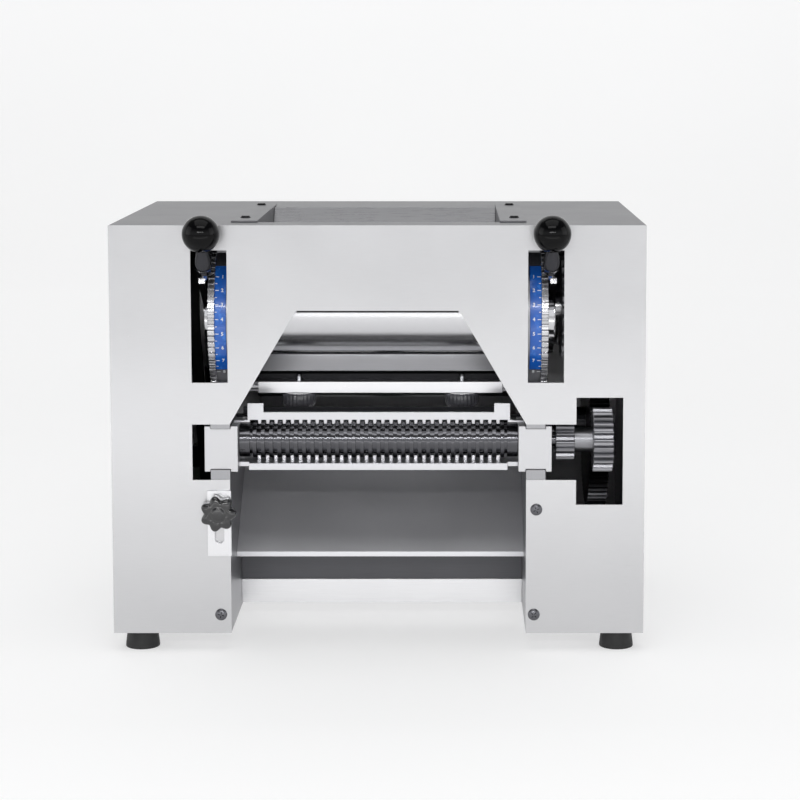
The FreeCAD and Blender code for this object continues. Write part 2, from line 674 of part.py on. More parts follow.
def lever(side, label):
    """Lever: ring on the bush, flat arm, bent round handle and a tapered ferrule."""
    low, high = side_span(side, LEVER_IN, f"{LEVER_IN}+lever_thick")
    middle = f"({low}+{high})/2"
    ring = shaft(f"LeverRing{label}", (low, high), PIVOT_BACK, PIVOT_UP, f"{BUSH_RADIUS}+6")
    hole = shaft(f"LeverHole{label}", (f"{low}-1", f"{high}+1"), PIVOT_BACK, PIVOT_UP, BUSH_RADIUS)
    arm = [
        (f"{PIVOT_BACK}-10", f"{PIVOT_UP}+28"), (f"{PIVOT_BACK}-28", f"{PIVOT_UP}+4"),
        ("elbow_back-5", "elbow_up-4"), ("elbow_back-3", "elbow_up+5"), ("elbow_back+4", "elbow_up+7"),
    ]
    web = plate(f"LeverArm{label}", "side", [arm], "lever_thick", (low, "0", "0"))
    here = Vector(value(middle), value("elbow_back"), value("elbow_up"))
    ball = Vector(side * value("ball_middle"), value("ball_back"), value("ball_up"))
    way = Rotation(Vector(0, 0, 1), ball - here)
    reach = (ball - here).Length
    pieces = []
    spans = (("Stem", 0, reach, "rod_radius", "rod_radius"),
             ("FerruleLow", 3, 11, "rod_radius", "ferrule_radius"),
             ("FerruleHigh", 11, 26, "ferrule_radius", "rod_radius"))
    for name, start, stop, first, last in spans:
        same = first == last
        piece = doc.addObject("Part::Cylinder" if same else "Part::Cone", f"{name}{label}")
        piece.Placement = Placement(Vector(), way)
        bind(piece, "Radius" if same else "Radius1", first)
        if not same:
            bind(piece, "Radius2", last)
        piece.Height = stop - start
        at = here + (ball - here) * (start / reach)
        put(piece, repr(at.x), repr(at.y), repr(at.z))
        pieces.append(piece)
    ring_cut = cut(f"LeverEye{label}", fuse(f"LeverPlate{label}", ring, web), hole)
    whole = fuse(f"LeverAll{label}", ring_cut, *pieces)
    seat = ball_shape(side, f"LeverSeat{label}")
    return part(f"gap_lever_{label}", cut(f"Lever{label}", whole, seat))


def ball_shape(side, name):
    """Ball at the end of a lever."""
    ball = doc.addObject("Part::Sphere", name)
    bind(ball, "Radius", "ball_radius")
    return put(ball, f"{side}*ball_middle", "ball_back", "ball_up")


def quadrant(side, label):
    """Toothed arc plate beside the lever, in the side frame's rebate."""
    low, high = side_span(side, f"{FRAME_OUT}-quadrant_rebate",
                          f"{FRAME_OUT}-quadrant_rebate+quadrant_wide")
    tip = value("quadrant_radius")
    foot = tip - value("tooth_depth")
    inner = foot - 12
    first, last, count = 122, 228, 26
    step = math.radians((last - first) / count)
    corners = []
    for k in range(count):
        start = math.radians(first) + k * step
        for radius, share in ((foot, 0), (foot, 0.25), (tip, 0.4), (tip, 0.7), (foot, 0.85)):
            corners.append((radius, start + share * step))
    corners.append((foot, math.radians(last)))
    spots = [Vector(0, r * math.cos(a), r * math.sin(a)) for r, a in corners]
    ends = [Vector(0, inner * math.cos(math.radians(a)), inner * math.sin(math.radians(a)))
            for a in (last, (first + last) / 2, first)]
    edges = [Part.LineSegment(a, b).toShape() for a, b in zip(spots, spots[1:])]
    edges.append(Part.LineSegment(spots[-1], ends[0]).toShape())
    edges.append(Part.Arc(*ends).toShape())
    edges.append(Part.LineSegment(ends[2], spots[0]).toShape())
    shape = Part.Face(Part.Wire(edges)).extrude(Vector(value(high) - value(low), 0, 0))
    thing = own_shape(f"Quadrant{label}", shape)
    return put(thing, low, PIVOT_BACK, PIVOT_UP)


def scale_plate(side, label):
    """Thin curved scale strip on the nose of the side frame."""
    low, high = side_span(side, f"{FRAME_OUT}-quadrant_rebate-scale_wide",
                          f"{FRAME_OUT}-quadrant_rebate")
    inner = value("quadrant_radius-tooth_depth-2*scale_thick")
    wide = value(high) - value(low)
    start = Vector(0, 0, 0)
    ring = Part.makeCylinder(inner + value("scale_thick"), wide, start, Vector(1, 0, 0))
    core = Part.makeCylinder(inner, wide, start, Vector(1, 0, 0))
    wedge_reach = 3 * inner
    wedge = [Vector(0, 0, 0)]
    for angle in (138, 180, 216):
        turn = math.radians(angle)
        wedge.append(Vector(0, wedge_reach * math.cos(turn), wedge_reach * math.sin(turn)))
    sector = Part.Face(Part.makePolygon(wedge + wedge[:1])).extrude(Vector(wide, 0, 0))
    thing = own_shape(f"Scale{label}", ring.cut(core).common(sector))
    return put(thing, low, PIVOT_BACK, PIVOT_UP)


# ---------------------------------------------------------------- scrapers

def scraper(label, facing_front):
    """Scraper bar with round ends in the side frames, and its bent blade."""
    bar_back = ("scraper_front", "scraper_front+scraper_deep")
    blade_root = "scraper_front+scraper_deep"
    if not facing_front:
        bar_back = (f"{REAR_BACK}+press_back-scraper_front-scraper_deep",
                    f"{REAR_BACK}+press_back-scraper_front")
        blade_root = bar_back[0]
    bar = block(f"{label}Bar", ("-scraper_half", "scraper_half"), bar_back,
                ("scraper_low", "scraper_high"))
    ends = [shaft(f"{label}End{side + 1}", side_span(side, "scraper_half-1", "bed_half"),
                  f"({bar_back[0]}+{bar_back[1]})/2", "(scraper_low+scraper_high)/2", "4")
            for side in (-1, 1)]
    pieces = [bar, *ends]
    if facing_front:
        holes = [rod(f"{label}Hole{side + 1}", "z",
                     (f"{side}*scraper_knob_x", "scraper_front+5", "scraper_low-1"),
                     "stud_radius+run_fit", "scraper_high-scraper_low+2") for side in (-1, 1)]
        part(f"{label}_bar", cut(f"{label}BarCut", fuse(f"{label}BarWhole", *pieces), *holes))
    else:
        part(f"{label}_bar", fuse(f"{label}BarWhole", *pieces))
    sign = 1 if facing_front else -1
    heel = f"({blade_root})"
    corners = [
        (heel, "scraper_low"), (f"{heel}+{sign}*skin", "scraper_low"),
        (f"{heel}+{sign}*skin", "scraper_high+6.8"), (f"{heel}-{sign}*10.2", "scraper_high+10.7"),
        (f"{heel}-{sign}*5.4", "scraper_high+22.8"), (f"{heel}-{sign}*7", "scraper_high+22.8"),
        (f"{heel}-{sign}*12", "scraper_high+9.5"), (heel, "scraper_high+5.5"),
    ]
    body = plate(f"{label}Blade", "side", [corners], "2*scraper_half", ("-scraper_half", "0", "0"))
    part(f"{label}_blade", body)


def scraper_knob(side, label):
    """Mushroom thumb knob under the scraper bar, with its stud up through the bar."""
    x, back = f"{side}*scraper_knob_x", "scraper_front+5"
    low = "scraper_low-0.3-scraper_knob_high"
    skirt = rod(f"KnobSkirt{label}", "z", (x, back, f"{low}+5"), "scraper_knob_radius",
                "scraper_knob_high-5")
    dome = rod(f"KnobDome{label}", "z", (x, back, low), "scraper_knob_radius-5", "5",
               "scraper_knob_radius")
    stud = rod(f"KnobStud{label}", "z", (x, back, f"{low}+2"), "stud_radius",
               "scraper_knob_high+scraper_high-scraper_low+4")
    return part(f"scraper_knob_{label}", fuse(f"ScraperKnob{label}", skirt, dome, stud))


# ---------------------------------------------------------------- cutter cassette

def cutter_roller(label, back, rings, land, right_end):
    """Ringed roller: core, evenly spaced rings, smooth lands and journals."""
    core = shaft(f"{label}_core", ("-(block_inner-side_gap)", "block_inner-side_gap"), back,
                 CUTTER_UP, CUTTER_CORE)
    journal = shaft(f"{label}_journal", ("-block_outer", right_end), back, CUTTER_UP,
                    "cutter_journal")
    span = f"(ring_pitch*{rings - 1}/2)"
    start = shaft(f"{label}_disc", (f"-{span}-ring_wide/2", f"-{span}+ring_wide/2"), back,
                  CUTTER_UP, "cutter_radius")
    row = doc.addObject("Part::Compound", f"{label}_rings")
    discs = [start]
    for k in range(1, rings):
        shift = f"-{span}+ring_pitch*{k}"
        discs.append(shaft(f"{label}_disc{k}", (f"{shift}-ring_wide/2", f"{shift}+ring_wide/2"),
                           back, CUTTER_UP, "cutter_radius"))
    row.Links = discs
    lands = [shaft(f"{label}_land{side + 1}",
                   side_span(side, "ring_pitch*ring_count/2+0.6", "block_inner-side_gap"),
                   back, CUTTER_UP, land) for side in (-1, 1)]
    return part(label, fuse(f"{label}_whole", core, journal, *discs, *lands))


def cutter_block(side, label):
    """Bearing block that slides in the side frame's open slot, with a cheek on each side."""
    body = block(f"Block{label}", side_span(side, "block_inner", "block_outer"),
                 ("block_front", "block_back"), (BLOCK_FOOT, BLOCK_TOP))
    tools = []
    for name, low, high in (("Upper", f"{BLOCK_TOP}-block_web-block_play", f"{BLOCK_TOP}+1"),
                            ("Lower", f"{BLOCK_FOOT}-1", f"{BLOCK_FOOT}+block_web+block_play")):
        limits = side_span(side, "bed_half-block_play", f"{FRAME_OUT}+block_play")
        tools.append(block(f"Groove{name}{label}", limits, ("block_front-1", "block_back+1"),
                           (low, high)))
    for name, back in (("Front", "cutter_back"), ("Rear", f"cutter_back+{MESH_GAP}")):
        over = side_span(side, "block_inner-1", "block_outer+1")
        tools.append(shaft(f"Bore{name}{label}", over, back, CUTTER_UP,
                           "cutter_journal+run_fit"))
    return part(f"cutter_block_{label}", cut(f"CutterBlock{label}", body, *tools))


def comb_teeth(name, count, back, up):
    """Row of teeth between the rings of a cutter roller."""
    teeth = []
    for k in range(count):
        shift = f"ring_pitch*({k}-{(count - 1) / 2})"
        teeth.append(block(f"{name}{k}", (f"{shift}-1.4", f"{shift}+1.4"), back, up))
    return teeth


def upper_comb(label, back, half, top, horns, count):
    """Upright comb plate whose teeth reach down into the roller's grooves."""
    depth = (back, f"{back}+comb_thick")
    bar = block(f"{label}_bar", (f"-{half}", half), depth, (COMB_LOW, top))
    teeth = comb_teeth(f"{label}_tooth", count, depth, (f"{COMB_LOW}-comb_tooth", COMB_LOW))
    pieces = [bar, *teeth]
    for side in (-1, 1):
        foot = side_span(side, f"{half}-2", "bed_half-1")
        strut = side_span(side, f"{half}-2", f"{half}+3")
        pieces.append(block(f"{label}_strut{side + 1}", strut, depth, (BLOCK_TOP, COMB_LOW)))
        pieces.append(block(f"{label}_foot{side + 1}", foot, (back, f"{back}+8"),
                            (BLOCK_TOP, f"{BLOCK_TOP}+1.5")))
        if horns:
            pieces.append(block(f"{label}_horn{side + 1}",
                                side_span(side, f"{half}-13", half), depth, (top, f"{top}+comb_horn")))
    return part(label, fuse(f"{label}_whole", *pieces))


def lower_comb():
    """Flat bar under the front cutter roller with teeth up into its grooves."""
    across = ("-lower_comb_half", "lower_comb_half")
    bar = block("LowerBar", across, ("block_front+3", "block_front+27"),
                (f"{LOWER_COMB_FOOT}+2", LOWER_COMB_TOP))
    nose = block("LowerNose", across, ("block_front+1.5", "block_front+4"),
                 (LOWER_COMB_FOOT, LOWER_COMB_TOP))
    ends = [block(f"LowerEnd{side + 1}", side_span(side, "lower_comb_half-1", "block_inner"),
                  ("block_front+8", "block_front+24"), (f"{LOWER_COMB_FOOT}+2", LOWER_COMB_TOP))
            for side in (-1, 1)]
    teeth = comb_teeth("LowerTooth", 30, ("cutter_back-6", "cutter_back+2"),
                       (LOWER_COMB_TOP, f"{CUTTER_UP}-{CUTTER_CORE}-0.5"))
    return part("lower_comb", fuse("LowerComb", bar, nose, *ends, *teeth))


def comb_screws():
    """Two screws under the lower comb bar."""
    heads = [rod(f"CombScrew{side + 1}", "z",
                 (f"{side}*65", "block_front+12", f"{LOWER_COMB_FOOT}-1"), "3.2", "3")
             for side in (-1, 1)]
    return part("comb_screws", group("CombScrews", *heads))


# ---------------------------------------------------------------- keeper and star knob

def keeper_plate():
    """Slotted plate that slides up in front of the left cutter block."""
    left, right = "-keeper_middle-keeper_wide/2", "-keeper_middle+keeper_wide/2"
    edge = rectangle(left, right, "keeper_low", "keeper_high")
    body = plate("Keeper", "front", [edge], "keeper_thick", ("0", "-0.3", "0"))
    half, ahead, through = "keeper_slot/2", "-keeper_thick-1.3", "keeper_thick+2"
    foot, head = f"slot_foot+{half}", f"slot_head-{half}"
    ends = [rod(f"SlotEnd{k}", "y", ("-keeper_middle", ahead, up), half, through)
            for k, up in enumerate((foot, head))]
    straight = block("SlotStraight", (f"-keeper_middle-{half}", f"-keeper_middle+{half}"),
                     (ahead, f"{ahead}+{through}"), (foot, head))
    body = cut("KeeperSlotted", body, *ends, straight)
    return part("keeper_plate", body)


def star_knob():
    """Seven-lobed clamp knob with its stud through the keeper's slot and the panel."""
    x, front = "-keeper_middle", "-keeper_thick-0.6"
    hub = rod("StarHub", "y", (x, f"{front}-star_thick", "star_up"), "star_radius*0.72",
              "star_thick")
    lobes = []
    for k in range(7):
        turn = f"{k}*360/7*1deg"
        lobes.append(rod(f"StarLobe{k}", "y",
                         (f"{x}+star_radius*0.76*sin({turn})", f"{front}-star_thick",
                          f"star_up+star_radius*0.76*cos({turn})"),
                         "star_radius*0.24", "star_thick-1.5"))
    cap = rod("StarCap", "y", (x, f"{front}-star_thick-2", "star_up"), "star_radius*0.42", "2.5",
              "star_radius*0.5")
    stud = rod("StarStud", "y", (x, f"{front}-1", "star_up"), "stud_radius", "star_stud")
    return part("star_knob", fuse("StarKnob", hub, cap, stud, *lobes))


# ---------------------------------------------------------------- electrics

def power_inlet():
    """Flanged appliance inlet in the rear panel, with three pins in its well."""
    left, right = "-187", "-152"
    flange = block("InletFlange", (left, right), ("depth", "depth+rear_reach"), ("36", "66"))
    body = block("InletBody", ("-183+0.3", "-156-0.3"), ("depth-20", "depth"), ("40.3", "61.7"))
    well = block("InletWell", ("-180", "-159"), ("depth-16", "depth+rear_reach+1"), ("43", "59"))
    spots = ((-174, 49), (-169.5, 54), (-165, 49))
    pins = [block(f"InletPin{k}", (f"{x}-1", f"{x}+1"), ("depth-17", "depth-4"),
                  (f"{up}-2", f"{up}+2")) for k, (x, up) in enumerate(spots)]
    hollow = cut("InletHollow", fuse("InletShell", flange, body), well)
    return part("power_inlet", fuse("Inlet", hollow, *pins))


def switch_frame():
    """Bezel of the rocker switch in the rear panel."""
    rim = block("SwitchRim", ("-185", "-154"), ("depth", "depth+1"), ("82", "106"))
    body = block("SwitchBody", ("-183+0.3", "-156-0.3"), ("depth-18", "depth"), ("84.3", "103.7"))
    well = block("SwitchWell", ("-181", "-158"), ("depth-12", "depth+2"), ("86.5", "101.5"))
    return part("switch_frame", cut("SwitchFrame", fuse("SwitchShell", rim, body), well))


def switch_rocker():
    """Rocker that tips about a horizontal axis inside the bezel."""
    corners = [("depth-3", "88.2"), ("depth+0.2", "87.7"), ("depth-0.6", "94"),
               ("depth+0.2", "100.3"), ("depth-3", "99.8"), ("depth-6", "94")]
    body = plate("Rocker", "side", [corners], "22", ("-180.5", "0", "0"))
    return part("switch_rocker", body)


def build():
    """Make every sub-part in assembly order."""
    front_panel()
    pair("side_panels", side_panel)
    pair("bottom_plates", bottom_plate)
    pair("hopper_cheeks", hopper_cheek)
    pair("quadrants", quadrant)
    pair("scale_plates", scale_plate)
    for side, label in SIDES:
        side_frame(side, label)
        eccentric_bush(side, label)
        lever(side, label)
        part(f"ball_knob_{label}", ball_shape(side, f"Ball{label}"))
        scraper_knob(side, label)
        cutter_block(side, label)
    top_panel()
    rear_panel()
    tie_rods()
    base_tray()
    chute()
    motor_guard()
    walls = [hopper_wall("Front", "hopper_front+skin", "hopper_front+24", 1),
             hopper_wall("Rear", "hopper_back-skin", "hopper_back-44", -1)]
    part("hopper_walls", group("HopperWalls", *walls))
    hopper_screws()
    panel_screws()
    feet()
    motor()
    motor_shaft()
    pulley("motor_pulley", "motor_back", "motor_up", "pinion_radius", "motor_shaft_radius")
    pulley("roller_pulley", REAR_BACK, "press_up", "wheel_radius", "journal_radius")
    drive_belt()
    press_roller("front_press_roller", "press_back", f"{FRAME_OUT}+2",
                 "press_gear_left+press_gear_wide+3")
    press_roller("rear_press_roller", REAR_BACK, "pulley_left+pulley_wide+3",
                 "train_left+train_wide+3")
    bearings("front_roller_bearings", "press_back", "bearing_radius")
    bearings("rear_roller_bearings", REAR_BACK, "bearing_radius")
    scraper("scraper", True)
    scraper("rear_scraper", False)
    rings = int(value("ring_count"))
    cutter_roller("cutter_roller_front", "cutter_back", rings, "cutter_land",
                  "train_left+train_wide+1")
    cutter_roller("cutter_roller_rear", f"cutter_back+{MESH_GAP}", rings - 1,
                  CUTTER_CORE, "mesh_left+mesh_wide+1")
    upper_comb("upper_comb", "cutter_back-1", "comb_half", COMB_TOP, True, rings - 1)
    upper_comb("rear_comb", f"cutter_back+{MESH_GAP}-1", "comb_half-6", COMB_TOP, False,
               rings - 2)
    lower_comb()
    comb_screws()
    gear_train()
    idler_stud()
    keeper_plate()
    star_knob()
    power_inlet()
    switch_frame()
    switch_rocker()


def check_and_export():
    """Stop on any failed object or shape, then write one STEP file per sub-part."""
    doc.recompute()
    for thing in doc.Objects:
        if "Invalid" in thing.State or "Error" in thing.State:
            raise RuntimeError(f"{thing.Name}: {thing.State}")
    for thing in PARTS:
        if thing.Shape.isNull() or not thing.Shape.isValid():
            raise RuntimeError(f"{thing.Label} has no valid shape")
    os.makedirs("parts", exist_ok=True)
    for thing in PARTS:
        thing.Shape.exportStep(os.path.join("parts", f"{thing.Label}.step"))


build()
check_and_export()
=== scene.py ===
import json
import logging
import math
from dataclasses import dataclass, field
from enum import Enum
from typing import Callable, Sequence

import bmesh
import bpy
from mathutils import Matrix, Vector


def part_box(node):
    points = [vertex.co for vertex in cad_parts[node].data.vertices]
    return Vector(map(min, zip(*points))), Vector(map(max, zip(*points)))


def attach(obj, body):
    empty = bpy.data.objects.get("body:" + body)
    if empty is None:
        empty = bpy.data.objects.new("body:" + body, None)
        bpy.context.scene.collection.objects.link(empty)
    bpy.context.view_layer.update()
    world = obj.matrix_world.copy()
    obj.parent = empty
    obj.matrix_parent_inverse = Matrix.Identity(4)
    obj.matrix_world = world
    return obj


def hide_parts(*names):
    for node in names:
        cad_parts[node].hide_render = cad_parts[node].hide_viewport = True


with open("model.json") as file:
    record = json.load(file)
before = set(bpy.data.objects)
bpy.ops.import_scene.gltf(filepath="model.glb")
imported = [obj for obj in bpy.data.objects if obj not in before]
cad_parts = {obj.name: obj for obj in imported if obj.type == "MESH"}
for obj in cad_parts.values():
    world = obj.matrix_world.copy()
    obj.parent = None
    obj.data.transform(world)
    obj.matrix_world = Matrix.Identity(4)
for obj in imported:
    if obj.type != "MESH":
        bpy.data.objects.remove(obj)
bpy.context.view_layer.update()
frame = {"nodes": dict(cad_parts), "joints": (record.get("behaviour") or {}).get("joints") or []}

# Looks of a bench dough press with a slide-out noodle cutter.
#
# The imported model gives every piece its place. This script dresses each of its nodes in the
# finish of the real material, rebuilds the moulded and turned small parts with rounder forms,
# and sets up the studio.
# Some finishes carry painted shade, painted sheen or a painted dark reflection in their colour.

LOG = logging.getLogger("dough_sheeter")
MM = 0.001
SAME_SPOT = 1e-6
STUD_STEPS = 24

Point = tuple[float, float]
Colour = tuple[float, float, float, float]


class Axis(Enum):
    """Direction that a turned part's axis takes."""

    Y = (0.0, 1.0, 0.0)
    Z = (0.0, 0.0, 1.0)


class Grain(Enum):
    """Way the marks run across a metal: each axis's share of the marks' closeness."""

    LEVEL = (0.02, 1.0, 1.0)
    DEEP = (1.0, 0.02, 1.0)
    UPRIGHT = (1.0, 1.0, 0.02)
    ROUND = (1.0, 0.05, 0.05)
    NONE = (1.0, 1.0, 1.0)


# ------------------------------------------------------------------ node helpers

def linear(colour: str) -> Colour:
    """Turn an sRGB hex colour into linear light.

    Args:
        colour: Six hex digits after a hash.

    Returns:
        Red, green, blue and an alpha of one.
    """
    parts = [int(colour[k:k + 2], 16) / 255 for k in (1, 3, 5)]
    light = [c / 12.92 if c <= 0.04045 else ((c + 0.055) / 1.055) ** 2.4 for c in parts]
    return (light[0], light[1], light[2], 1.0)


def add(tree: bpy.types.NodeTree, kind: str, settings: dict | None = None,
        inputs: dict | None = None) -> bpy.types.Node:
    """Add one node with its settings, values and links.

    Args:
        tree: Node tree that gets the node.
        kind: Blender's type name of the node.
        settings: Attributes of the node.
        inputs: Input name or index to a value, or to the output socket that feeds it.

    Returns:
        The new node.
    """
    node = tree.nodes.new(kind)
    for name, setting in (settings or {}).items():
        setattr(node, name, setting)
    for name, given in (inputs or {}).items():
        if isinstance(given, bpy.types.NodeSocket):
            tree.links.new(given, node.inputs[name])
        else:
            node.inputs[name].default_value = given
    return node


@dataclass(frozen=True)
class Finish:
    """A surface finish that turns into one procedural material."""

    name: str

    def dress(self, tree: bpy.types.NodeTree, place: bpy.types.NodeSocket) -> dict:
        """Return the shader's inputs; each finish has its own."""
        raise NotImplementedError

    def material(self) -> bpy.types.Material:
        """Make the material, or return it if it is there already.

        Returns:
            Material whose pattern is worked out from the piece's own coordinates.
        """
        made = bpy.data.materials.get(self.name)
        if made:
            return made
        made = bpy.data.materials.new(self.name)
        made.use_nodes = True
        tree = made.node_tree
        tree.nodes.clear()
        place = add(tree, "ShaderNodeTexCoord").outputs["Object"]
        shader = add(tree, "ShaderNodeBsdfPrincipled", inputs=self.dress(tree, place))
        add(tree, "ShaderNodeOutputMaterial", inputs={"Surface": shader.outputs["BSDF"]})
        return made


@dataclass(frozen=True)
class WorkedMetal(Finish):
    """Metal whose look comes from the marks of how its surface was made."""

    dark: str
    light: str
    roughness: float
    grain: Grain
    mark: float
    depth: float
    spread: float = 0.12
    cloud: float = 60.0
    mark_share: float = 0.65
    bump: float = 0.35

    def dress(self, tree: bpy.types.NodeTree, place: bpy.types.NodeSocket) -> dict:
        """Build the marks of the tool or belt and a slow clouding of the sheen.

        Args:
            tree: Node tree of the material.
            place: Coordinates in metres.

        Returns:
            Inputs of the shader.
        """
        lines = add(tree, "ShaderNodeVectorMath", {"operation": "MULTIPLY"},
                    {0: place, 1: self.grain.value})
        fine = add(tree, "ShaderNodeTexNoise", inputs={
            "Vector": lines.outputs[0], "Scale": 1 / (self.mark * MM), "Detail": 4.0,
            "Roughness": 0.6})
        slow = add(tree, "ShaderNodeTexNoise", inputs={
            "Vector": place, "Scale": 1 / (self.cloud * MM), "Detail": 3.0})
        marks = add(tree, "ShaderNodeMath", {"operation": "MULTIPLY"},
                    {0: fine.outputs["Fac"], 1: self.mark_share})
        both = add(tree, "ShaderNodeMath", {"operation": "MULTIPLY_ADD"},
                   {0: slow.outputs["Fac"], 1: 1 - self.mark_share, 2: marks.outputs[0]})
        colour = add(tree, "ShaderNodeMix", {"data_type": "RGBA"},
                     {0: both.outputs[0], 6: linear(self.dark), 7: linear(self.light)})
        rough = add(tree, "ShaderNodeMapRange", inputs={
            "Value": both.outputs[0], "From Min": 0.3, "From Max": 0.7,
            "To Min": self.roughness - self.spread / 2,
            "To Max": self.roughness + self.spread / 2})
        bump = add(tree, "ShaderNodeBump", inputs={
            "Height": fine.outputs["Fac"], "Strength": self.bump, "Distance": self.depth * MM})
        return {"Base Color": colour.outputs[2], "Metallic": 1.0,
                "Roughness": rough.outputs["Result"], "Normal": bump.outputs["Normal"]}


@dataclass(frozen=True)
class ShadedBelow(WorkedMetal):
    """Metal with painted shade: dark below a height, its worked colour above it."""

    # Colour of the painted shade below the height.
    shade_colour: str = "#262628"
    height: float = 0.0
    blur: float = 0.4

    def dress(self, tree: bpy.types.NodeTree, place: bpy.types.NodeSocket) -> dict:
        """Build the worked metal and paint it dark below the height, as painted shade.

        Args:
            tree: Node tree of the material.
            place: Coordinates in metres.

        Returns:
            Inputs of the shader.
        """
        inputs = super().dress(tree, place)
        parts = add(tree, "ShaderNodeSeparateXYZ", inputs={"Vector": place})
        # Painted shade: the mix goes from the dark colour below the height to the metal above it.
        ground = add(tree, "ShaderNodeMapRange", inputs={
            "Value": parts.outputs["Z"], "From Min": (self.height - self.blur) * MM,
            "From Max": (self.height + self.blur) * MM})
        colour = add(tree, "ShaderNodeMix", {"data_type": "RGBA"}, {
            0: ground.outputs["Result"], 6: linear(self.shade_colour), 7: inputs["Base Color"]})
        inputs["Base Color"] = colour.outputs[2]
        return inputs


@dataclass(frozen=True)
class Moulded(Finish):
    """Plastic, rubber or paint: a coloured body with a fine skin texture."""

    colour: str
    worn: str
    roughness: float
    ior: float
    pebble: float
    depth: float
    coat: float = 0.0
    patch: float = 9.0
    bump: float = 0.3

    def dress(self, tree: bpy.types.NodeTree, place: bpy.types.NodeSocket) -> dict:
        """Build the skin's pebbling and its dusty or rubbed patches.

        Args:
            tree: Node tree of the material.
            place: Coordinates in metres.

        Returns:
            Inputs of the shader.
        """
        skin = add(tree, "ShaderNodeTexNoise", inputs={
            "Vector": place, "Scale": 1 / (self.pebble * MM), "Detail": 3.0})
        patch = add(tree, "ShaderNodeTexNoise", inputs={
            "Vector": place, "Scale": 1 / (self.patch * MM), "Detail": 5.0,
            "Roughness": 0.65})
        rubbed = add(tree, "ShaderNodeMapRange", inputs={
            "Value": patch.outputs["Fac"], "From Min": 0.52, "From Max": 0.72})
        colour = add(tree, "ShaderNodeMix", {"data_type": "RGBA"}, {
            0: rubbed.outputs["Result"], 6: linear(self.colour), 7: linear(self.worn)})
        rough = add(tree, "ShaderNodeMapRange", inputs={
            "Value": patch.outputs["Fac"], "From Min": 0.35, "From Max": 0.7,
            "To Min": self.roughness * 0.85, "To Max": min(1.0, self.roughness * 1.25)})
        bump = add(tree, "ShaderNodeBump", inputs={
            "Height": skin.outputs["Fac"], "Strength": self.bump, "Distance": self.depth * MM})
        return {"Base Color": colour.outputs[2], "Roughness": rough.outputs["Result"],
                "IOR": self.ior, "Coat Weight": self.coat, "Coat Roughness": 0.05,
                "Normal": bump.outputs["Normal"]}


@dataclass(frozen=True)
class Glowing(Finish):
    """Opal sheet with lamps behind it."""

    colour: str
    worn: str
    roughness: float
    glow: float

    def dress(self, tree: bpy.types.NodeTree, place: bpy.types.NodeSocket) -> dict:
        """Build the sheet's faint clouding and its even glow.

        Args:
            tree: Node tree of the material.
            place: Coordinates in metres.

        Returns:
            Inputs of the shader.
        """
        cloud = add(tree, "ShaderNodeTexNoise", inputs={"Vector": place, "Scale": 1.5})
        colour = add(tree, "ShaderNodeMix", {"data_type": "RGBA"}, {
            0: cloud.outputs["Fac"], 6: linear(self.colour), 7: linear(self.worn)})
        return {"Base Color": colour.outputs[2], "Roughness": self.roughness,
                "Specular IOR Level": 0.1, "Emission Color": (1.0, 1.0, 1.0, 1.0),
                "Emission Strength": self.glow}


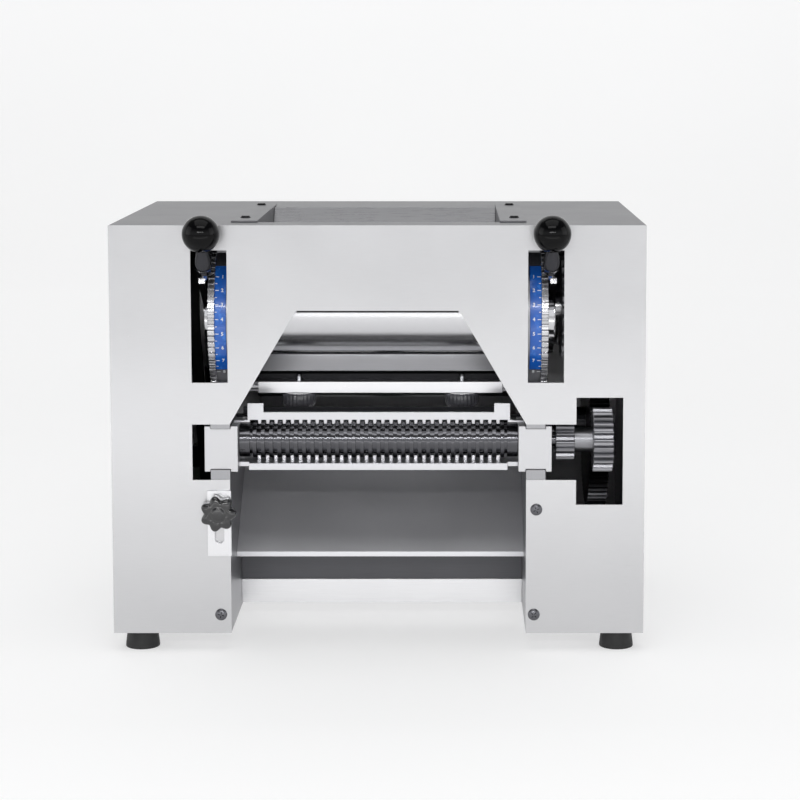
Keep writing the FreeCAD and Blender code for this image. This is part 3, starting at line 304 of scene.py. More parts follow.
class Finishes:
    """Every finish of the machine, named for its material and how it was made, or for the shade
    or sheen painted into it.
    """

    # Cold-rolled stainless sheet, belt brushed along its length: soft pale reflections that
    # smear across faint level lines. The lines are 0.3 mm, coarser than the real 0.1 mm.
    PANEL = WorkedMetal("brushed_stainless_front", "#bebec0", "#cececf", 0.33, Grain.LEVEL,
                        0.3, 0.01)
    # The lid's sheet has a rougher belt finish; the sides are brushed front to back.
    # The lid's darker grey is painted shade, for the dimmer light on its level top face.
    LID = WorkedMetal("brushed_stainless_lid_painted_shade", "#6a6a6d", "#79797c", 0.42, Grain.LEVEL,
                      0.3, 0.01)
    SIDE = WorkedMetal("brushed_stainless_side", "#c4c4c6", "#dcdcde", 0.38, Grain.DEEP,
                       0.3, 0.01)
    # Mill-finish sheet of the hopper and the motor guard: duller and slightly cloudy.
    SHEET = WorkedMetal("mill_stainless_sheet", "#8b8b8e", "#adadaf", 0.3, Grain.LEVEL,
                        0.6, 0.01, 0.16, 35)
    # The motor guard's dark grey is painted shade, for the shade under the chute.
    GUARD = WorkedMetal("shaded_sheet", "#4c4c4f", "#626265", 0.42, Grain.LEVEL, 0.6, 0.01,
                        0.16, 35)
    # Folded base tray: bright-annealed sheet, nearly white.
    BEAM = WorkedMetal("bright_stainless_fold", "#e2e2e4", "#f6f6f7", 0.34, Grain.LEVEL,
                       0.4, 0.01)
    # Ground plate: cross-hatched grinding that reads as an even, satiny grey.
    FRAME = WorkedMetal("ground_steel_plate", "#8f8f92", "#adadb0", 0.36, Grain.UPRIGHT,
                        0.5, 0.015)
    # Hard chrome polished to a mirror: crisp reflections with a trace of buffing haze.
    CHROME = WorkedMetal("polished_hard_chrome", "#c2c2c5", "#d2d2d4", 0.09, Grain.ROUND, 1.2,
                         0.001, 0.03, 80)
    # Bell: chrome painted dark, a painted dark reflection; a bright line runs down its flank.
    BELL = WorkedMetal("chrome_painted_dark_reflection", "#343437", "#4e4e52", 0.16, Grain.ROUND, 0.8, 0.002,
                       0.04, 20)
    # Ground roller face: the wheel's fine hoops spread each reflection into a soft band.
    ROLLER = WorkedMetal("ground_roller", "#d0d0d3", "#dcdcde", 0.24, Grain.ROUND, 0.3, 0.002,
                         0.03, 90)
    # Slitting rollers: turned and stoned steel with narrow hot highlights.
    # Their dark grey is a painted reflection of the dark parts round them.
    CUTTER = WorkedMetal("stoned_steel_painted_dark_reflection", "#4c4c4f", "#6a6a6e", 0.17, Grain.ROUND, 0.35,
                         0.006, 0.06, 25)
    # Bead-blasted chute: no mirror image, only a soft slope from dark to light.
    CHUTE = WorkedMetal("blasted_chute_sheet", "#e2e2e5", "#f0f0f2", 0.6, Grain.NONE, 0.35,
                        0.006, 0.06, 45)
    # Scraper blade: spring steel, painted dark below 221 mm as painted shade under the blade.
    BLADE = ShadedBelow("spring_steel_blade", "#9c9c9f", "#b6b6b9", 0.42, Grain.LEVEL, 0.5,
                    0.004, 0.1, 30, height=221.0)
    # Fly-cut bar: milled faces that catch the light almost evenly.
    BAR = WorkedMetal("milled_bar", "#d6d6d8", "#e6e6e8", 0.3, Grain.NONE, 0.5, 0.004, 0.08, 40)
    # Comb bars: ground steel, a shade darker than the bar above them.
    COMB = WorkedMetal("ground_comb_bar", "#c2c2c5", "#d6d6d9", 0.36, Grain.LEVEL, 0.5, 0.004,
                       0.1, 30)
    # Gear steel painted near black: painted shade, for the shade inside the machine.
    SHADED_GEAR = WorkedMetal("gear_steel_painted_shade", "#2e2e30", "#4a4a4d", 0.3, Grain.LEVEL, 0.8, 0.01,
                        0.1, 12)
    # Screw heads: phosphated and oiled, dark grey with a rubbed rim.
    SCREW = WorkedMetal("phosphated_screw", "#4e4e52", "#7c7c80", 0.3, Grain.NONE, 0.4, 0.006,
                        0.1, 6)
    # Turned steel: fine round tool marks that break each highlight into threads.
    TURNED = WorkedMetal("turned_steel", "#b4b4b7", "#dadadc", 0.2, Grain.ROUND, 0.35, 0.012,
                         0.1)
    # Hobbed gear steel with a film of oil: dark flanks and bright rubbed lands.
    GEAR = WorkedMetal("hobbed_gear_steel", "#77777b", "#aaaaae", 0.34, Grain.LEVEL, 0.8,
                       0.02, 0.14, 12)
    # Bright zinc plate: cool, nearly white and slightly cloudy.
    ZINC = WorkedMetal("bright_zinc_plate", "#e4e5e8", "#f7f8fa", 0.26, Grain.LEVEL, 0.7,
                       0.008, 0.1, 20)
    # Fly-cut aluminium block, satin anodised: pale, soft and even.
    ALLOY = WorkedMetal("satin_aluminium", "#c4c4c6", "#d4d4d6", 0.48, Grain.NONE, 0.4, 0.006,
                        0.08, 30)
    # Oil-filled sintered bronze: warm, dull and open-grained.
    BRONZE = WorkedMetal("sintered_bronze", "#8f6a3a", "#b98d52", 0.45, Grain.NONE, 0.5, 0.02)
    # Rear comb strip: steel painted near black, painted shade above the cutters; soft sheen.
    SHADED_COMB = WorkedMetal("comb_steel_painted_shade", "#2b2b2e", "#3f3f43", 0.34, Grain.LEVEL, 0.5, 0.01,
                        0.12, 25)
    # Black oxide screws; the same black paints the shade in the front screws' crossed recess.
    SCREW_BLACK = WorkedMetal("black_oxide_and_recess_shade", "#1a1a1b", "#333335", 0.38, Grain.NONE,
                              0.4, 0.01)
    # Cast phenolic ball: deep black, buffed to a wet gloss.
    BALL = Moulded("phenolic_ball", "#020203", "#040405", 0.1, 1.26, 3.0, 0.001)
    # Star knob: nylon from a polished mould, black with glossy lobes.
    STAR = Moulded("polished_nylon", "#0e0e10", "#1b1b1e", 0.16, 1.56, 0.6, 0.006, 0.7)
    # Thumb knobs: the same nylon, painted paler grey as painted sheen, with paler patches.
    THUMB = Moulded("nylon_painted_sheen", "#4e4e53", "#6c6c72", 0.2, 1.6, 0.6, 0.008, 0.5)
    # Injection-moulded ABS of the inlet and switch: spark-eroded matt skin.
    ABS = Moulded("spark_eroded_abs", "#131314", "#1d1d1f", 0.42, 1.54, 0.4, 0.02)
    # Rubber of the feet: matt black; the same black paints the gate's top edge as painted shade.
    RUBBER = Moulded("nitrile_rubber_and_gate_shade", "#0d0d0e", "#1b1b1c", 0.55, 1.52, 0.8, 0.03)
    # Moulded belt: duller still, with a cloth-like skin.
    BELT = Moulded("neoprene_belt", "#101011", "#202021", 0.7, 1.52, 0.5, 0.04)
    # Baked enamel on the motor: dark blue-grey with orange peel.
    ENAMEL = Moulded("baked_enamel", "#25292e", "#30353b", 0.28, 1.5, 2.2, 0.03, 0.2)
    # Screen-printed aluminium strip under a clear lacquer: flat, saturated blue.
    PRINT = Moulded("printed_blue_strip", "#165fc0", "#3284e6", 0.24, 1.5, 0.9, 0.004, 0.3)
    WHITE_INK = Moulded("white_screen_ink", "#f2f4f7", "#e6e9ee", 0.45, 1.5, 0.5, 0.004)
    # Opal acrylic table lit from below, which keeps the shadows pale.
    FLOOR = Glowing("opal_table", "#c4c4c4", "#c8c8c8", 0.9, 0.47)


# ------------------------------------------------------------------ mesh helpers

def finish_mesh(name: str, mesh: bmesh.types.BMesh, finish: Finish, body: str,
                smooth: float = 35.0) -> bpy.types.Object:
    """Turn a bmesh into a dressed piece that rides on a body.

    Args:
        name: Name of the piece.
        mesh: Geometry in metres, in the machine's own frame.
        finish: Finish of the piece.
        body: Body that the piece moves with.
        smooth: Largest angle in degrees that is shaded as one surface.

    Returns:
        The new object.
    """
    bmesh.ops.remove_doubles(mesh, verts=mesh.verts, dist=SAME_SPOT)
    bmesh.ops.recalc_face_normals(mesh, faces=mesh.faces)
    data = bpy.data.meshes.new(name)
    mesh.to_mesh(data)
    mesh.free()
    data.shade_smooth()
    data.set_sharp_from_angle(angle=math.radians(smooth))
    data.materials.append(finish.material())
    piece = bpy.data.objects.new(name, data)
    bpy.context.scene.collection.objects.link(piece)
    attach(piece, body)
    return piece


def turned(mesh: bmesh.types.BMesh, profile: Sequence[Point], axis: Axis, centre: Vector,
           steps: int = 48, ripple: Callable[[float, float], float] | None = None) -> None:
    """Turn a profile about an axis and add it to a mesh.

    Args:
        mesh: Mesh that gets the turned form.
        profile: Pairs of radius and distance along the axis, in metres.
        axis: Direction of the axis.
        centre: Point on the axis where the distance is zero.
        steps: Number of divisions round the axis.
        ripple: Gives a new radius from the turn and the radius, for lobes and flutes.
    """
    along = Vector(axis.value)
    swing = Vector((0, 0, 1)).rotation_difference(along)
    rows = []
    for radius, distance in profile:
        if radius < SAME_SPOT:
            rows.append([mesh.verts.new(centre + along * distance)])
            continue
        ring = []
        for k in range(steps):
            turn = 2 * math.pi * k / steps
            reach = ripple(turn, radius) if ripple else radius
            spot = swing @ Vector((reach * math.cos(turn), reach * math.sin(turn), 0))
            ring.append(mesh.verts.new(centre + spot + along * distance))
        rows.append(ring)
    for first, second in zip(rows, rows[1:]):
        for k in range(steps):
            after = (k + 1) % steps
            corners = [first[k % len(first)], first[after % len(first)],
                       second[after % len(second)], second[k % len(second)]]
            unique = list(dict.fromkeys(corners))
            if len(unique) > 2:
                mesh.faces.new(unique)
    for ring, flip in ((rows[0], True), (rows[-1], False)):
        if len(ring) > 1:
            mesh.faces.new(list(reversed(ring)) if flip else ring)


def rounded(corners: Sequence[tuple[float, float, float]], steps: int = 5) -> list[Point]:
    """Round the corners of a profile.

    Args:
        corners: Radius, distance and rounding of each corner, in metres.
        steps: Points on each rounded corner.

    Returns:
        Profile with every rounded corner drawn as a short curve.
    """
    points = []
    for k, (x, y, bend) in enumerate(corners):
        here = Vector((x, y))
        if bend <= 0 or k in (0, len(corners) - 1):
            points.append((x, y))
            continue
        before = Vector(corners[k - 1][:2]) - here
        after = Vector(corners[k + 1][:2]) - here
        reach = min(bend, before.length * 0.49, after.length * 0.49)
        start, stop = here + before.normalized() * reach, here + after.normalized() * reach
        for step in range(steps + 1):
            share = step / steps
            spot = start * (1 - share) ** 2 + here * 2 * share * (1 - share) + stop * share ** 2
            points.append((spot.x, spot.y))
    return points


def middle(node: str) -> Vector:
    """Find the centre of a node's box.

    Args:
        node: Name of the node.

    Returns:
        Middle of its box at rest.
    """
    low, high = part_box(node)
    return (low + high) / 2


def loose_boxes(node: str) -> list[tuple[Vector, Vector]]:
    """Find the box of each separate solid in a node.

    Args:
        node: Name of a node that holds several solids.

    Returns:
        Lowest and highest corner of each solid, sorted by place.
    """
    mesh = bmesh.new()
    mesh.from_mesh(frame["nodes"][node].data)
    bmesh.ops.remove_doubles(mesh, verts=mesh.verts, dist=SAME_SPOT)
    unseen = set(mesh.verts)
    boxes = []
    while unseen:
        queue = [unseen.pop()]
        found = list(queue)
        while queue:
            for edge in queue.pop().link_edges:
                for vert in edge.verts:
                    if vert in unseen:
                        unseen.remove(vert)
                        queue.append(vert)
                        found.append(vert)
        low = Vector([min(v.co[k] for v in found) for k in range(3)])
        high = Vector([max(v.co[k] for v in found) for k in range(3)])
        boxes.append((low, high))
    mesh.free()
    return sorted(boxes, key=lambda pair: tuple(round(c, 4) for c in pair[0]))


# ------------------------------------------------------------------ the machine's parts

@dataclass
class Dressing:
    """Finishes of the nodes whose CAD form stays, with their edges lightly broken."""

    edge: float = 0.35 * MM
    smooth: float = 32.0
    weld: float = 0.001 * MM
    as_cut: tuple[str, ...] = ("front_panel",)
    plan: dict[Finish, tuple[str, ...]] = field(default_factory=lambda: {
        Finishes.PANEL: ("front_panel",),
        Finishes.LID: ("top_panel", "hopper_cheeks"),
        Finishes.SIDE: ("side_panels", "rear_panel", "bottom_plates"),
        Finishes.SHEET: ("hopper_walls",),
        Finishes.CHUTE: ("chute",),
        Finishes.BLADE: ("scraper_blade", "rear_scraper_blade"),
        Finishes.BAR: ("scraper_bar", "rear_scraper_bar", "keeper_plate"),
        Finishes.COMB: ("upper_comb", "lower_comb"),
        Finishes.ROLLER: ("front_press_roller", "rear_press_roller"),
        Finishes.CUTTER: ("cutter_roller_front", "cutter_roller_rear"),
        Finishes.SHADED_GEAR: ("idler_gear", "roller_drive_gear"),
        Finishes.GUARD: ("motor_guard",),
        Finishes.BEAM: ("base_tray",),
        Finishes.FRAME: ("side_frame_left", "side_frame_right", "tie_rods"),
        Finishes.CHROME: ("gap_lever_left", "gap_lever_right"),
        Finishes.TURNED: ("eccentric_bush_left", "eccentric_bush_right", "idler_stud",
                          "motor_shaft", "quadrants"),
        Finishes.GEAR: ("front_press_gear", "rear_press_gear", "cutter_drive_gear",
                        "cutter_mesh_gear_front", "cutter_mesh_gear_rear"),
        Finishes.ALLOY: ("cutter_block_left", "cutter_block_right", "motor_pulley",
                         "roller_pulley"),
        Finishes.SHADED_COMB: ("rear_comb",),
        Finishes.SCREW_BLACK: ("hopper_screws", "comb_screws"),
        Finishes.ABS: ("power_inlet", "switch_frame", "switch_rocker"),
        Finishes.PRINT: ("scale_plates",),
        Finishes.BELT: ("drive_belt",),
        Finishes.ENAMEL: ("motor",),
        Finishes.BRONZE: ("front_roller_bearings", "rear_roller_bearings"),
    })

    def build(self) -> int:
        """Dress each node of the plan.

        Returns:
            Number of nodes that were dressed.
        """
        count = 0
        for finish, names in self.plan.items():
            for name in names:
                node = frame["nodes"][name]
                node.data.materials.clear()
                node.data.materials.append(finish.material())
                # The front sheet keeps its laser-cut edges, so its broad face stays flat.
                if name not in self.as_cut:
                    self.soften(node)
                count += 1
        return count

    def soften(self, node: bpy.types.Object) -> None:
        """Break a node's edges with modifiers.

        Args:
            node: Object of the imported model.
        """
        weld = node.modifiers.new("weld", "WELD")
        weld.merge_threshold = self.weld
        bevel = node.modifiers.new("edge_break", "BEVEL")
        bevel.width = self.edge
        bevel.segments = 2
        bevel.limit_method = "ANGLE"
        bevel.angle_limit = math.radians(self.smooth)
        bevel.harden_normals = False
        flat = node.modifiers.new("face_normals", "WEIGHTED_NORMAL")
        flat.keep_sharp = True


@dataclass
class BallKnobs:
    """Cast balls on the lever ends, each with a fine parting line."""

    sides: tuple[str, ...] = ("left", "right")
    steps: int = 64
    rows: int = 48
    seam: float = 0.06 * MM

    def build(self) -> None:
        """Replace both CAD balls."""
        for side in self.sides:
            self.ball(side)

    def ball(self, side: str) -> None:
        """Make one ball.

        Args:
            side: Left or right.
        """
        node = f"ball_knob_{side}"
        low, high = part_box(node)
        radius = (high - low).z / 2
        profile = []
        for k in range(self.rows + 1):
            turn = math.pi * k / self.rows
            swell = self.seam if k == self.rows // 2 else 0.0
            profile.append(((radius - self.seam + swell) * math.sin(turn),
                            -(radius - self.seam) * math.cos(turn)))
        profile[0] = (0.0, profile[0][1])
        profile[-1] = (0.0, profile[-1][1])
        mesh = bmesh.new()
        turned(mesh, profile, Axis.Y, middle(node), self.steps)
        piece = finish_mesh(f"ball_{side}", mesh, Finishes.BALL, f"{side}_lever",
                            60)
        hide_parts(node)


@dataclass
class Ferrules:
    """Chrome bell, painted dark, under each ball, drawn over the lever's rod.

    The profile gives radius, distance and rounding of each corner in millimetres.
    """

    lean: float = 34.8
    start: float = 13.5 * MM
    profile: tuple[tuple[float, float, float], ...] = (
        (0.0, 0.0, 0.0), (4.8, 0.0, 0.5), (5.2, 5.0, 2.0), (7.2, 15.0, 2.5), (7.2, 19.0, 1.2),
        (5.4, 22.5, 0.6), (5.4, 26.0, 0.4), (0.0, 26.0, 0.0))

    def build(self) -> None:
        """Slide a bell onto both levers."""
        for side in ("left", "right"):
            mesh = bmesh.new()
            shape = [(r * MM, d * MM, bend * MM) for r, d, bend in self.profile]
            turned(mesh, rounded(shape), Axis.Z, Vector((0, 0, self.start)), 48)
            turn = Matrix.Rotation(math.radians(180 + self.lean), 4, "X")
            place = Matrix.Translation(middle(f"ball_knob_{side}")) @ turn
            bmesh.ops.transform(mesh, matrix=place, verts=mesh.verts)
            finish_mesh(f"lever_bell_{side}", mesh, Finishes.BELL, f"{side}_lever",
                        40)


@dataclass
class GateShadeStrip:
    """Dark strip on the top edge of the dough gate, flush with the panel: painted shade under
    that edge.
    """

    inset: float = 0.6 * MM
    tall: float = 1.5 * MM
    thick: float = 1.3 * MM
    back: float = 0.75 * MM
    gap: float = 0.02 * MM
    middle_share: float = 0.4
    near: float = 0.1 * MM
    fold: float = 10 * MM

    def build(self) -> None:
        """Lay the dark strip along the gate's top edge, just inside the panel's thickness."""
        low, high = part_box("front_panel")
        front, middle_x = low.y, (low.x + high.x) / 2
        reach = (high.x - low.x) / 2 * self.middle_share
        inner = [v.co for v in frame["nodes"]["front_panel"].data.vertices
                 if abs(v.co.y - front) < self.near and abs(v.co.x - middle_x) < reach
                 and v.co.z < high.z - self.fold]
        edge = max(spot.z for spot in inner)
        corners = [spot.x for spot in inner if edge - spot.z < self.near]
        left, right = min(corners) + self.inset, max(corners) - self.inset
        mesh = bmesh.new()
        made = bmesh.ops.create_cube(mesh, size=1.0)
        size = Matrix.Diagonal((right - left, self.thick, self.tall, 1))
        spot = Vector(((left + right) / 2, front + self.back, edge - self.tall / 2 - self.gap))
        bmesh.ops.transform(mesh, verts=made["verts"], matrix=Matrix.Translation(spot) @ size)
        finish_mesh("gate_edge_painted_shade", mesh, Finishes.RUBBER, "machine")


@dataclass
class StarKnob:
    """Seven-lobed nylon clamp knob with a low boss in its face, on a steel stud."""

    lobes: int = 7
    waist: float = 0.22
    steps: int = 168
    stud: float = 2.5 * MM
    cap: float = 4.6 * MM
    core: float = 8 * MM
    depth: float = 13 * MM
    fullness: float = 0.75

    def lobe(self, turn: float, radius: float) -> float:
        """Pull the radius in between the lobes.

        Args:
            turn: Angle round the knob in radians.
            radius: Radius of the plain form.

        Returns:
            Radius with the lobes.
        """
        if radius < self.core:
            return radius
        wave = 0.5 + 0.5 * math.cos(self.lobes * turn)
        return radius * (1 - self.waist * (1 - wave ** self.fullness))

    def build(self) -> None:
        """Replace the CAD knob by a lobed moulding and its stud."""
        low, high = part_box("star_knob")
        centre = (low + high) / 2
        radius = (high.x - low.x) / 2
        base, depth, tall = Vector((centre.x, low.y, centre.z)), self.depth, high.y - low.y
        profile = rounded([
            (0.0, 0.0, 0), (self.cap, 0.15 * MM, 1.5 * MM),
            (self.cap + 1.4 * MM, 1.2 * MM, 0.7 * MM),
            (radius * 0.72, 0.9 * MM, 2 * MM), (radius, 2.6 * MM, 2.4 * MM),
            (radius, depth - 1.6 * MM, 1.2 * MM), (radius * 0.93, depth, 1 * MM),
            (0.0, depth, 0)])
        mesh = bmesh.new()
        turned(mesh, profile, Axis.Y, base, self.steps, self.lobe)
        knob = finish_mesh("star_knob_moulding", mesh, Finishes.STAR, "star", 50)
        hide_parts("star_knob")
        mesh = bmesh.new()
        stud = [(0.0, depth), (self.stud, depth), (self.stud, tall - 0.5 * MM),
                (self.stud * 0.8, tall), (0.0, tall)]
        turned(mesh, stud, Axis.Y, base, STUD_STEPS)
        metal = finish_mesh("star_knob_insert", mesh, Finishes.ZINC, "star")
        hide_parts("star_knob")


@dataclass
class ThumbKnobs:
    """Mushroom knobs under the scraper bar, fluted round the rim, on steel studs."""

    flutes: int = 24
    bite: float = 0.45 * MM
    steps: int = 192
    stud: float = 2.5 * MM
    high: float = 14.5 * MM
    plain: float = 12 * MM
    pitch: float = 0.8 * MM
    thread: float = 0.84

    def flute(self, turn: float, radius: float) -> float:
        """Cut shallow flutes into the rim.

        Args:
            turn: Angle round the knob in radians.
            radius: Radius of the plain form.

        Returns:
            Radius with the flutes.
        """
        if radius < self.plain:
            return radius
        return radius - self.bite * (0.5 - 0.5 * math.cos(self.flutes * turn)) ** 2

    def build(self) -> None:
        """Replace both CAD knobs."""
        for side in ("left", "right"):
            node = f"scraper_knob_{side}"
            low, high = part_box(node)
            centre = Vector(((low.x + high.x) / 2, (low.y + high.y) / 2, low.z))
            radius = (high.x - low.x) / 2
            body = f"{side}_scraper_knob"
            profile = rounded([
                (0.0, 0.0, 0), (radius * 0.5, 0.0, 3 * MM), (radius, 4.6 * MM, 3 * MM),
                (radius, self.high - 1.2 * MM, 1.2 * MM), (radius * 0.86, self.high, 0.8 * MM),
                (0.0, self.high, 0)])
            mesh = bmesh.new()
            turned(mesh, profile, Axis.Z, centre, self.steps, self.flute)
            knob = finish_mesh(f"thumb_knob_{side}", mesh, Finishes.THUMB, body,
                               50)
            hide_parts(node)
            reach = high.z - low.z
            stud = [(0.0, self.high), (self.stud, self.high)]
            for k in range(int((reach - self.high) / self.pitch)):
                stud.append((self.stud, self.high + k * self.pitch))
                stud.append((self.stud * self.thread, self.high + (k + 0.5) * self.pitch))
            stud += [(self.stud * 0.6, reach), (0.0, reach)]
            mesh = bmesh.new()
            turned(mesh, stud, Axis.Z, centre, STUD_STEPS)
            metal = finish_mesh(f"thumb_stud_{side}", mesh, Finishes.ZINC, body)
            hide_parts(node)


@dataclass
class Feet:
    """Rubber cones with a rolled foot, a screw well and a washer face at the top."""

    lip: float = 1.2 * MM
    well: float = 6 * MM
    well_depth: float = 6 * MM
    taper: float = 1.7 * MM

    def build(self) -> None:
        """Replace the four CAD cones."""
        mesh = bmesh.new()
        for low, high in loose_boxes("feet"):
            base = (high.x - low.x) / 2
            top = base - self.taper
            tall = high.z - low.z
            profile = rounded([
                (0.0, self.well_depth, 0), (self.well, self.well_depth, 0.3 * MM),
                (self.well, 0.0, 0.6 * MM), (base, 0.0, self.lip),
                (base - 0.15 * MM, 2.4 * MM, 0.8 * MM),
                (top, tall - 1 * MM, 0.8 * MM), (top - 0.8 * MM, tall, 0.5 * MM), (0.0, tall, 0)])
            centre = Vector(((low.x + high.x) / 2, (low.y + high.y) / 2, low.z))
            turned(mesh, profile, Axis.Z, centre, 56)
        piece = finish_mesh("rubber_feet", mesh, Finishes.RUBBER, "machine")
        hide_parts("feet")


@dataclass
class PanelScrews:
    """Domed pan heads on the front of the legs, each with a dark cross of painted recess shade.
    """

    arm: float = 2.6 * MM
    web: float = 0.62 * MM
    deep: float = 0.5 * MM
    sunk: float = 0.28 * MM
    rim: float = 0.3 * MM
    rows: int = 8
    turns: tuple[float, ...] = (12.0, 40.0, -25.0)

    def build(self) -> None:
        """Replace the CAD heads by domed ones, each with a dark cross of painted recess shade."""
        heads, slots = bmesh.new(), bmesh.new()
        for (low, high), turn in zip(loose_boxes("panel_screws"), self.turns):
            centre = Vector(((low.x + high.x) / 2, low.y, (low.z + high.z) / 2))
            radius, tall = (high.x - low.x) / 2, high.y - low.y
            profile = [(0.0, 0.0)]
            for k in range(1, self.rows + 1):
                slope = math.pi / 2 * k / self.rows
                profile.append((radius * math.sin(slope),
                                (tall - self.rim) * (1 - math.cos(slope))))
            profile += [(radius, tall), (0.0, tall)]
            turned(heads, profile, Axis.Y, centre, 40)
            for across in (0.0, 90.0):
                self.bar(slots, centre, math.radians(turn + across))
        head = finish_mesh("pan_screw_heads", heads, Finishes.SCREW, "machine", 40)
        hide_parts("panel_screws")
        # Dark cross: painted shade standing in for the recess.
        recess = finish_mesh("pan_screw_recess_shade", slots, Finishes.SCREW_BLACK, "machine")
        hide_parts("panel_screws")

    def bar(self, mesh: bmesh.types.BMesh, centre: Vector, turn: float) -> None:
        """Add one arm of the dark cross, the painted shade of the recess.

        Args:
            mesh: Mesh that gets the arm.
            centre: Middle of the head's front.
            turn: Angle of the arm in radians.
        """
        made = bmesh.ops.create_cube(mesh, size=1.0)
        size = Matrix.Diagonal((2 * self.arm, self.deep, self.web, 1))
        place = Matrix.Translation(centre + Vector((0, self.sunk, 0)))
        bmesh.ops.transform(mesh, verts=made["verts"],
                            matrix=place @ Matrix.Rotation(turn, 4, "Y") @ size)


@dataclass
class ScaleMarks:
    """White ticks and figures printed round the curved blue strips beside the quadrants."""

    figures: int = 8
    thick: float = 0.12 * MM
    tall: float = 4.0 * MM
    first: float = 33.0
    last: float = -38.0
    tick: float = 0.55 * MM
    margin: float = 0.4 * MM
    long_tick: float = 0.30
    short_tick: float = 0.16
    figure_at: float = 0.66
    weight: float = 0.12 * MM

    def build(self) -> None:
        """Print both strips."""
        for side, (low, high) in zip(("left", "right"), loose_boxes("scale_plates")):
            self.strip(side, low, high)

    def strip(self, side: str, low: Vector, high: Vector) -> None:
        """Wrap the marks of one strip round the pivot of its lever.

        Args:
            side: Left or right.
            low: Lowest corner of the strip.
            high: Highest corner of the strip.
        """
        joint = next(j for j in frame["joints"] if j["name"] == f"{side}_lever_turn")
        pivot = Vector(joint["pos_m"])
        radius = pivot.y - low.y
        across = high.x - low.x
        outer, inward = (low.x, 1) if side == "left" else (high.x, -1)
        mesh = bmesh.new()
        for k in range(2 * self.figures - 1):
            share = k / (2 * self.figures - 2)
            angle = math.radians(self.first + (self.last - self.first) * share)
            whole = k % 2 == 0
            reach = across * (self.long_tick if whole else self.short_tick)
            start = outer + inward * self.margin
            self.patch(mesh, pivot, radius, angle, (start, start + inward * reach), self.tick)
            if whole:
                self.figure(mesh, pivot, radius, angle,
                            outer + inward * across * self.figure_at, str(k // 2 + 1))
        finish_mesh(f"scale_marks_{side}", mesh, Finishes.WHITE_INK, "machine")
        LOG.info("scale on the %s: %d figures", side, self.figures)

    def wrap(self, pivot: Vector, radius: float, x: float, along: float, lift: float) -> Vector:
        """Place a point on the curved strip.

        Args:
            pivot: Centre that the strip curves about.
            radius: Radius of the strip's face.
            x: Place across the strip.
            along: Angle above level, in radians.
            lift: Height above the strip's face.

        Returns:
            The point in the machine's frame.
        """
        reach = radius + lift
        return Vector((x, pivot.y - reach * math.cos(along), pivot.z + reach * math.sin(along)))

    def patch(self, mesh: bmesh.types.BMesh, pivot: Vector, radius: float, angle: float,
              across: tuple[float, float], tall: float) -> None:
        """Add a thin raised rectangle on the strip.

        Args:
            mesh: Mesh that gets the mark.
            pivot: Centre that the strip curves about.
            radius: Radius of the strip's face.
            angle: Angle of the mark above level, in radians.
            across: Its limits in X.
            tall: Its height along the strip.
        """
        half = tall / 2 / radius
        corners = []
        for lift in (-self.thick, self.thick):
            for x in sorted(across):
                for swing in (-half, half):
                    corners.append(mesh.verts.new(
                        self.wrap(pivot, radius, x, angle + swing, lift)))
        for a, b, c, d in ((0, 1, 3, 2), (4, 6, 7, 5), (0, 4, 5, 1), (2, 3, 7, 6), (1, 5, 7, 3),
                           (0, 2, 6, 4)):
            mesh.faces.new((corners[a], corners[b], corners[c], corners[d]))

    def figure(self, mesh: bmesh.types.BMesh, pivot: Vector, radius: float, angle: float,
               x: float, text: str) -> None:
        """Add one figure, bent round the strip.

        Args:
            mesh: Mesh that gets the figure.
            pivot: Centre that the strip curves about.
            radius: Radius of the strip's face.
            angle: Angle of the figure's middle, in radians.
            x: Middle of the figure in X.
            text: Figure to print.
        """
        curve = bpy.data.curves.new("figure", "FONT")
        curve.body = text
        curve.size = self.tall
        curve.align_x = "CENTER"
        curve.align_y = "CENTER"
        curve.extrude = self.thick
        curve.offset = self.weight
        curve.resolution_u = 3
        maker = bpy.data.objects.new("figure", curve)
        bpy.context.scene.collection.objects.link(maker)
        shape = bpy.data.meshes.new_from_object(maker.evaluated_get(
            bpy.context.evaluated_depsgraph_get()))
        bpy.data.objects.remove(maker)
        start = len(mesh.verts)
        mesh.from_mesh(shape)
        mesh.verts.ensure_lookup_table()
        for vert in mesh.verts[start:]:
            flat = vert.co.copy()
            vert.co = self.wrap(pivot, radius, x + flat.x, angle + flat.y / radius, flat.z)
        bpy.data.meshes.remove(shape)


# ------------------------------------------------------------------ studio

@dataclass(frozen=True)
class Lamp:
    """One rectangular lamp: where it hangs, what it faces, its size and its power."""

    name: str
    place: tuple[float, float, float]
    aim: tuple[float, float, float]
    size: tuple[float, float]
    power: float

    def hang(self) -> None:
        """Add the lamp to the scene."""
        light = bpy.data.lights.new(self.name, "AREA")
        light.shape = "RECTANGLE"
        light.size, light.size_y = self.size
        light.energy = self.power
        lamp = bpy.data.objects.new(self.name, light)
        lamp.location = self.place
        way = Vector(self.aim) - Vector(self.place)
        lamp.rotation_euler = way.to_track_quat("-Z", "Y").to_euler()
        bpy.context.scene.collection.objects.link(lamp)


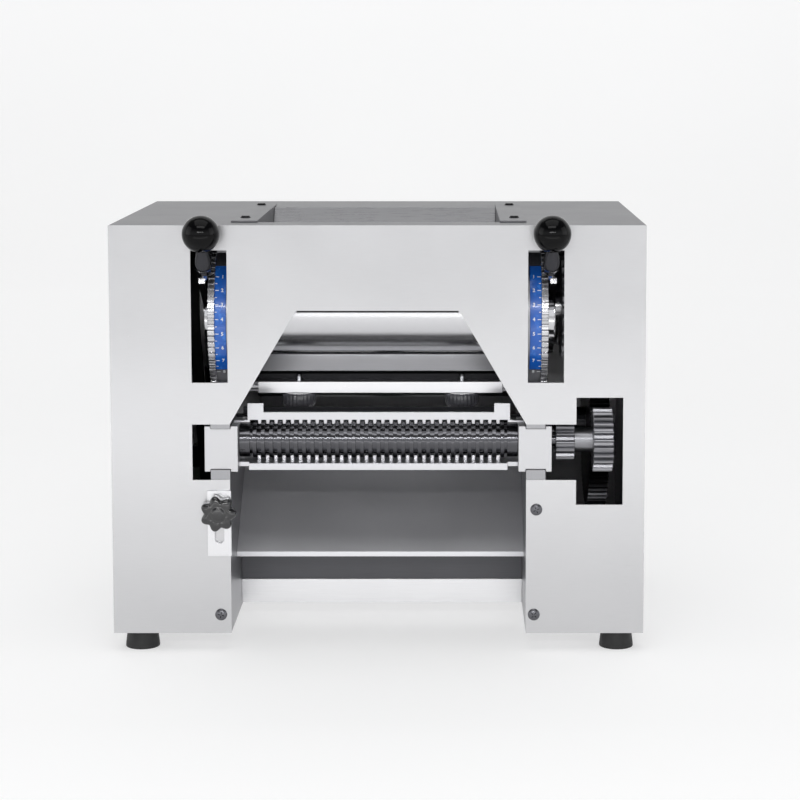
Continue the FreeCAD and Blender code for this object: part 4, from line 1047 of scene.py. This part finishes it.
@dataclass
class Studio:
    """Pale floor with a curved backdrop, soft lights and the camera.

    The room's light fades from the horizon's strength to the zenith's, between the heights
    dawn and dusk of the direction looked in.
    """

    lens: float = 100.1
    sensor: float = 36.0
    distance: float = 1.769
    camera_x: float = 0.058
    camera_z: float = 0.482
    shift_x: float = -0.0625
    shift_y: float = -0.1445
    tilt: float = 5.85
    air: str = "#f4f5f7"
    horizon: float = 1.15
    zenith: float = 0.2
    dawn: float = 0.1
    dusk: float = 0.62
    wide: float = 30.0
    back: float = 2.6
    bend: float = 1.2
    bend_steps: int = 12
    wall: float = 6.0
    lamps: tuple[Lamp, ...] = (
        Lamp("front_softbox", (0.0, -1.15, 1.5), (0.0, -1.1, 0.0), (1.2, 0.5), 5),
        Lamp("top_softbox", (0.0, -0.4, 2.4), (0.0, 0.0, 0.0), (2.4, 1.6), 13),
        Lamp("left_softbox", (-2.4, -0.6, 1.0), (0.0, 0.0, 0.2), (1.4, 1.6), 5),
        Lamp("right_softbox", (2.4, -0.6, 1.0), (0.0, 0.0, 0.2), (1.4, 1.6), 5),
        Lamp("strip_light", (0.0, -2.3, 0.95), (0.0, 0.0, 0.18), (1.5, 0.06), 9),
        Lamp("floor_strip", (0.0, -0.92, 0.06), (0.0, 0.0, 0.2), (1.6, 0.06), 0.58),
        Lamp("backdrop_softbox", (0.0, 1.6, 3.2), (0.0, 3.8, 1.0), (4.0, 0.8), 24))

    def build(self) -> None:
        """Set up floor, lights, world and camera."""
        self.floor()
        for lamp in self.lamps:
            lamp.hang()
        self.world()
        self.camera()

    def floor(self) -> None:
        """Make the floor and the backdrop as one sheet that curves up behind the machine."""
        mesh = bmesh.new()
        path = [(-self.wide, 0.0), (self.back, 0.0)]
        for k in range(1, self.bend_steps + 1):
            turn = math.pi / 2 * k / self.bend_steps
            path.append((self.back + self.bend * math.sin(turn),
                         self.bend * (1 - math.cos(turn))))
        path.append((self.back + self.bend, self.wall))
        rows = [[mesh.verts.new((x, y, z)) for x in (-self.wide, self.wide)] for y, z in path]
        for first, second in zip(rows, rows[1:]):
            mesh.faces.new((first[0], first[1], second[1], second[0]))
        data = bpy.data.meshes.new("studio_floor")
        mesh.to_mesh(data)
        mesh.free()
        data.shade_smooth()
        data.materials.append(Finishes.FLOOR.material())
        floor = bpy.data.objects.new("studio_floor", data)
        bpy.context.scene.collection.objects.link(floor)

    def world(self) -> None:
        """Fill the room with light that is bright at eye level and dim overhead."""
        world = bpy.data.worlds.new("studio_room")
        world.use_nodes = True
        tree = world.node_tree
        tree.nodes.clear()
        way = add(tree, "ShaderNodeTexCoord").outputs["Generated"]
        parts = add(tree, "ShaderNodeSeparateXYZ", inputs={"Vector": way})
        level = add(tree, "ShaderNodeMapRange", {"interpolation_type": "SMOOTHSTEP"}, {
            "Value": parts.outputs["Z"], "From Min": self.dawn, "From Max": self.dusk,
            "To Min": self.horizon, "To Max": self.zenith})
        glow = add(tree, "ShaderNodeBackground", inputs={
            "Color": linear(self.air), "Strength": level.outputs["Result"]})
        add(tree, "ShaderNodeOutputWorld", inputs={"Surface": glow.outputs[0]})
        bpy.context.scene.world = world

    def camera(self) -> None:
        """Place the camera in front, a little to the right and above the lid."""
        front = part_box("front_panel")[0].y
        lens = bpy.data.cameras.new("studio_camera")
        lens.lens = self.lens
        lens.sensor_width = self.sensor
        lens.shift_x = self.shift_x
        lens.shift_y = self.shift_y
        camera = bpy.data.objects.new("studio_camera", lens)
        camera.location = (self.camera_x, front - self.distance, self.camera_z)
        camera.rotation_euler = (math.radians(90 - self.tilt), 0, 0)
        bpy.context.scene.collection.objects.link(camera)
        bpy.context.scene.camera = camera


def main() -> None:
    """Set up the studio, dress the nodes and build every replaced or added piece."""
    logging.basicConfig(level=logging.INFO, format="%(message)s")
    bpy.context.scene.view_settings.view_transform = "Standard"
    Studio().build()
    LOG.info("studio ready")
    LOG.info("dressed %d nodes", Dressing().build())
    for builder in (BallKnobs(), Ferrules(), GateShadeStrip(), StarKnob(), ThumbKnobs(), Feet(),
                    PanelScrews(), ScaleMarks()):
        builder.build()
        LOG.info("built %s", type(builder).__name__)


if __name__ == "__main__":
    main()
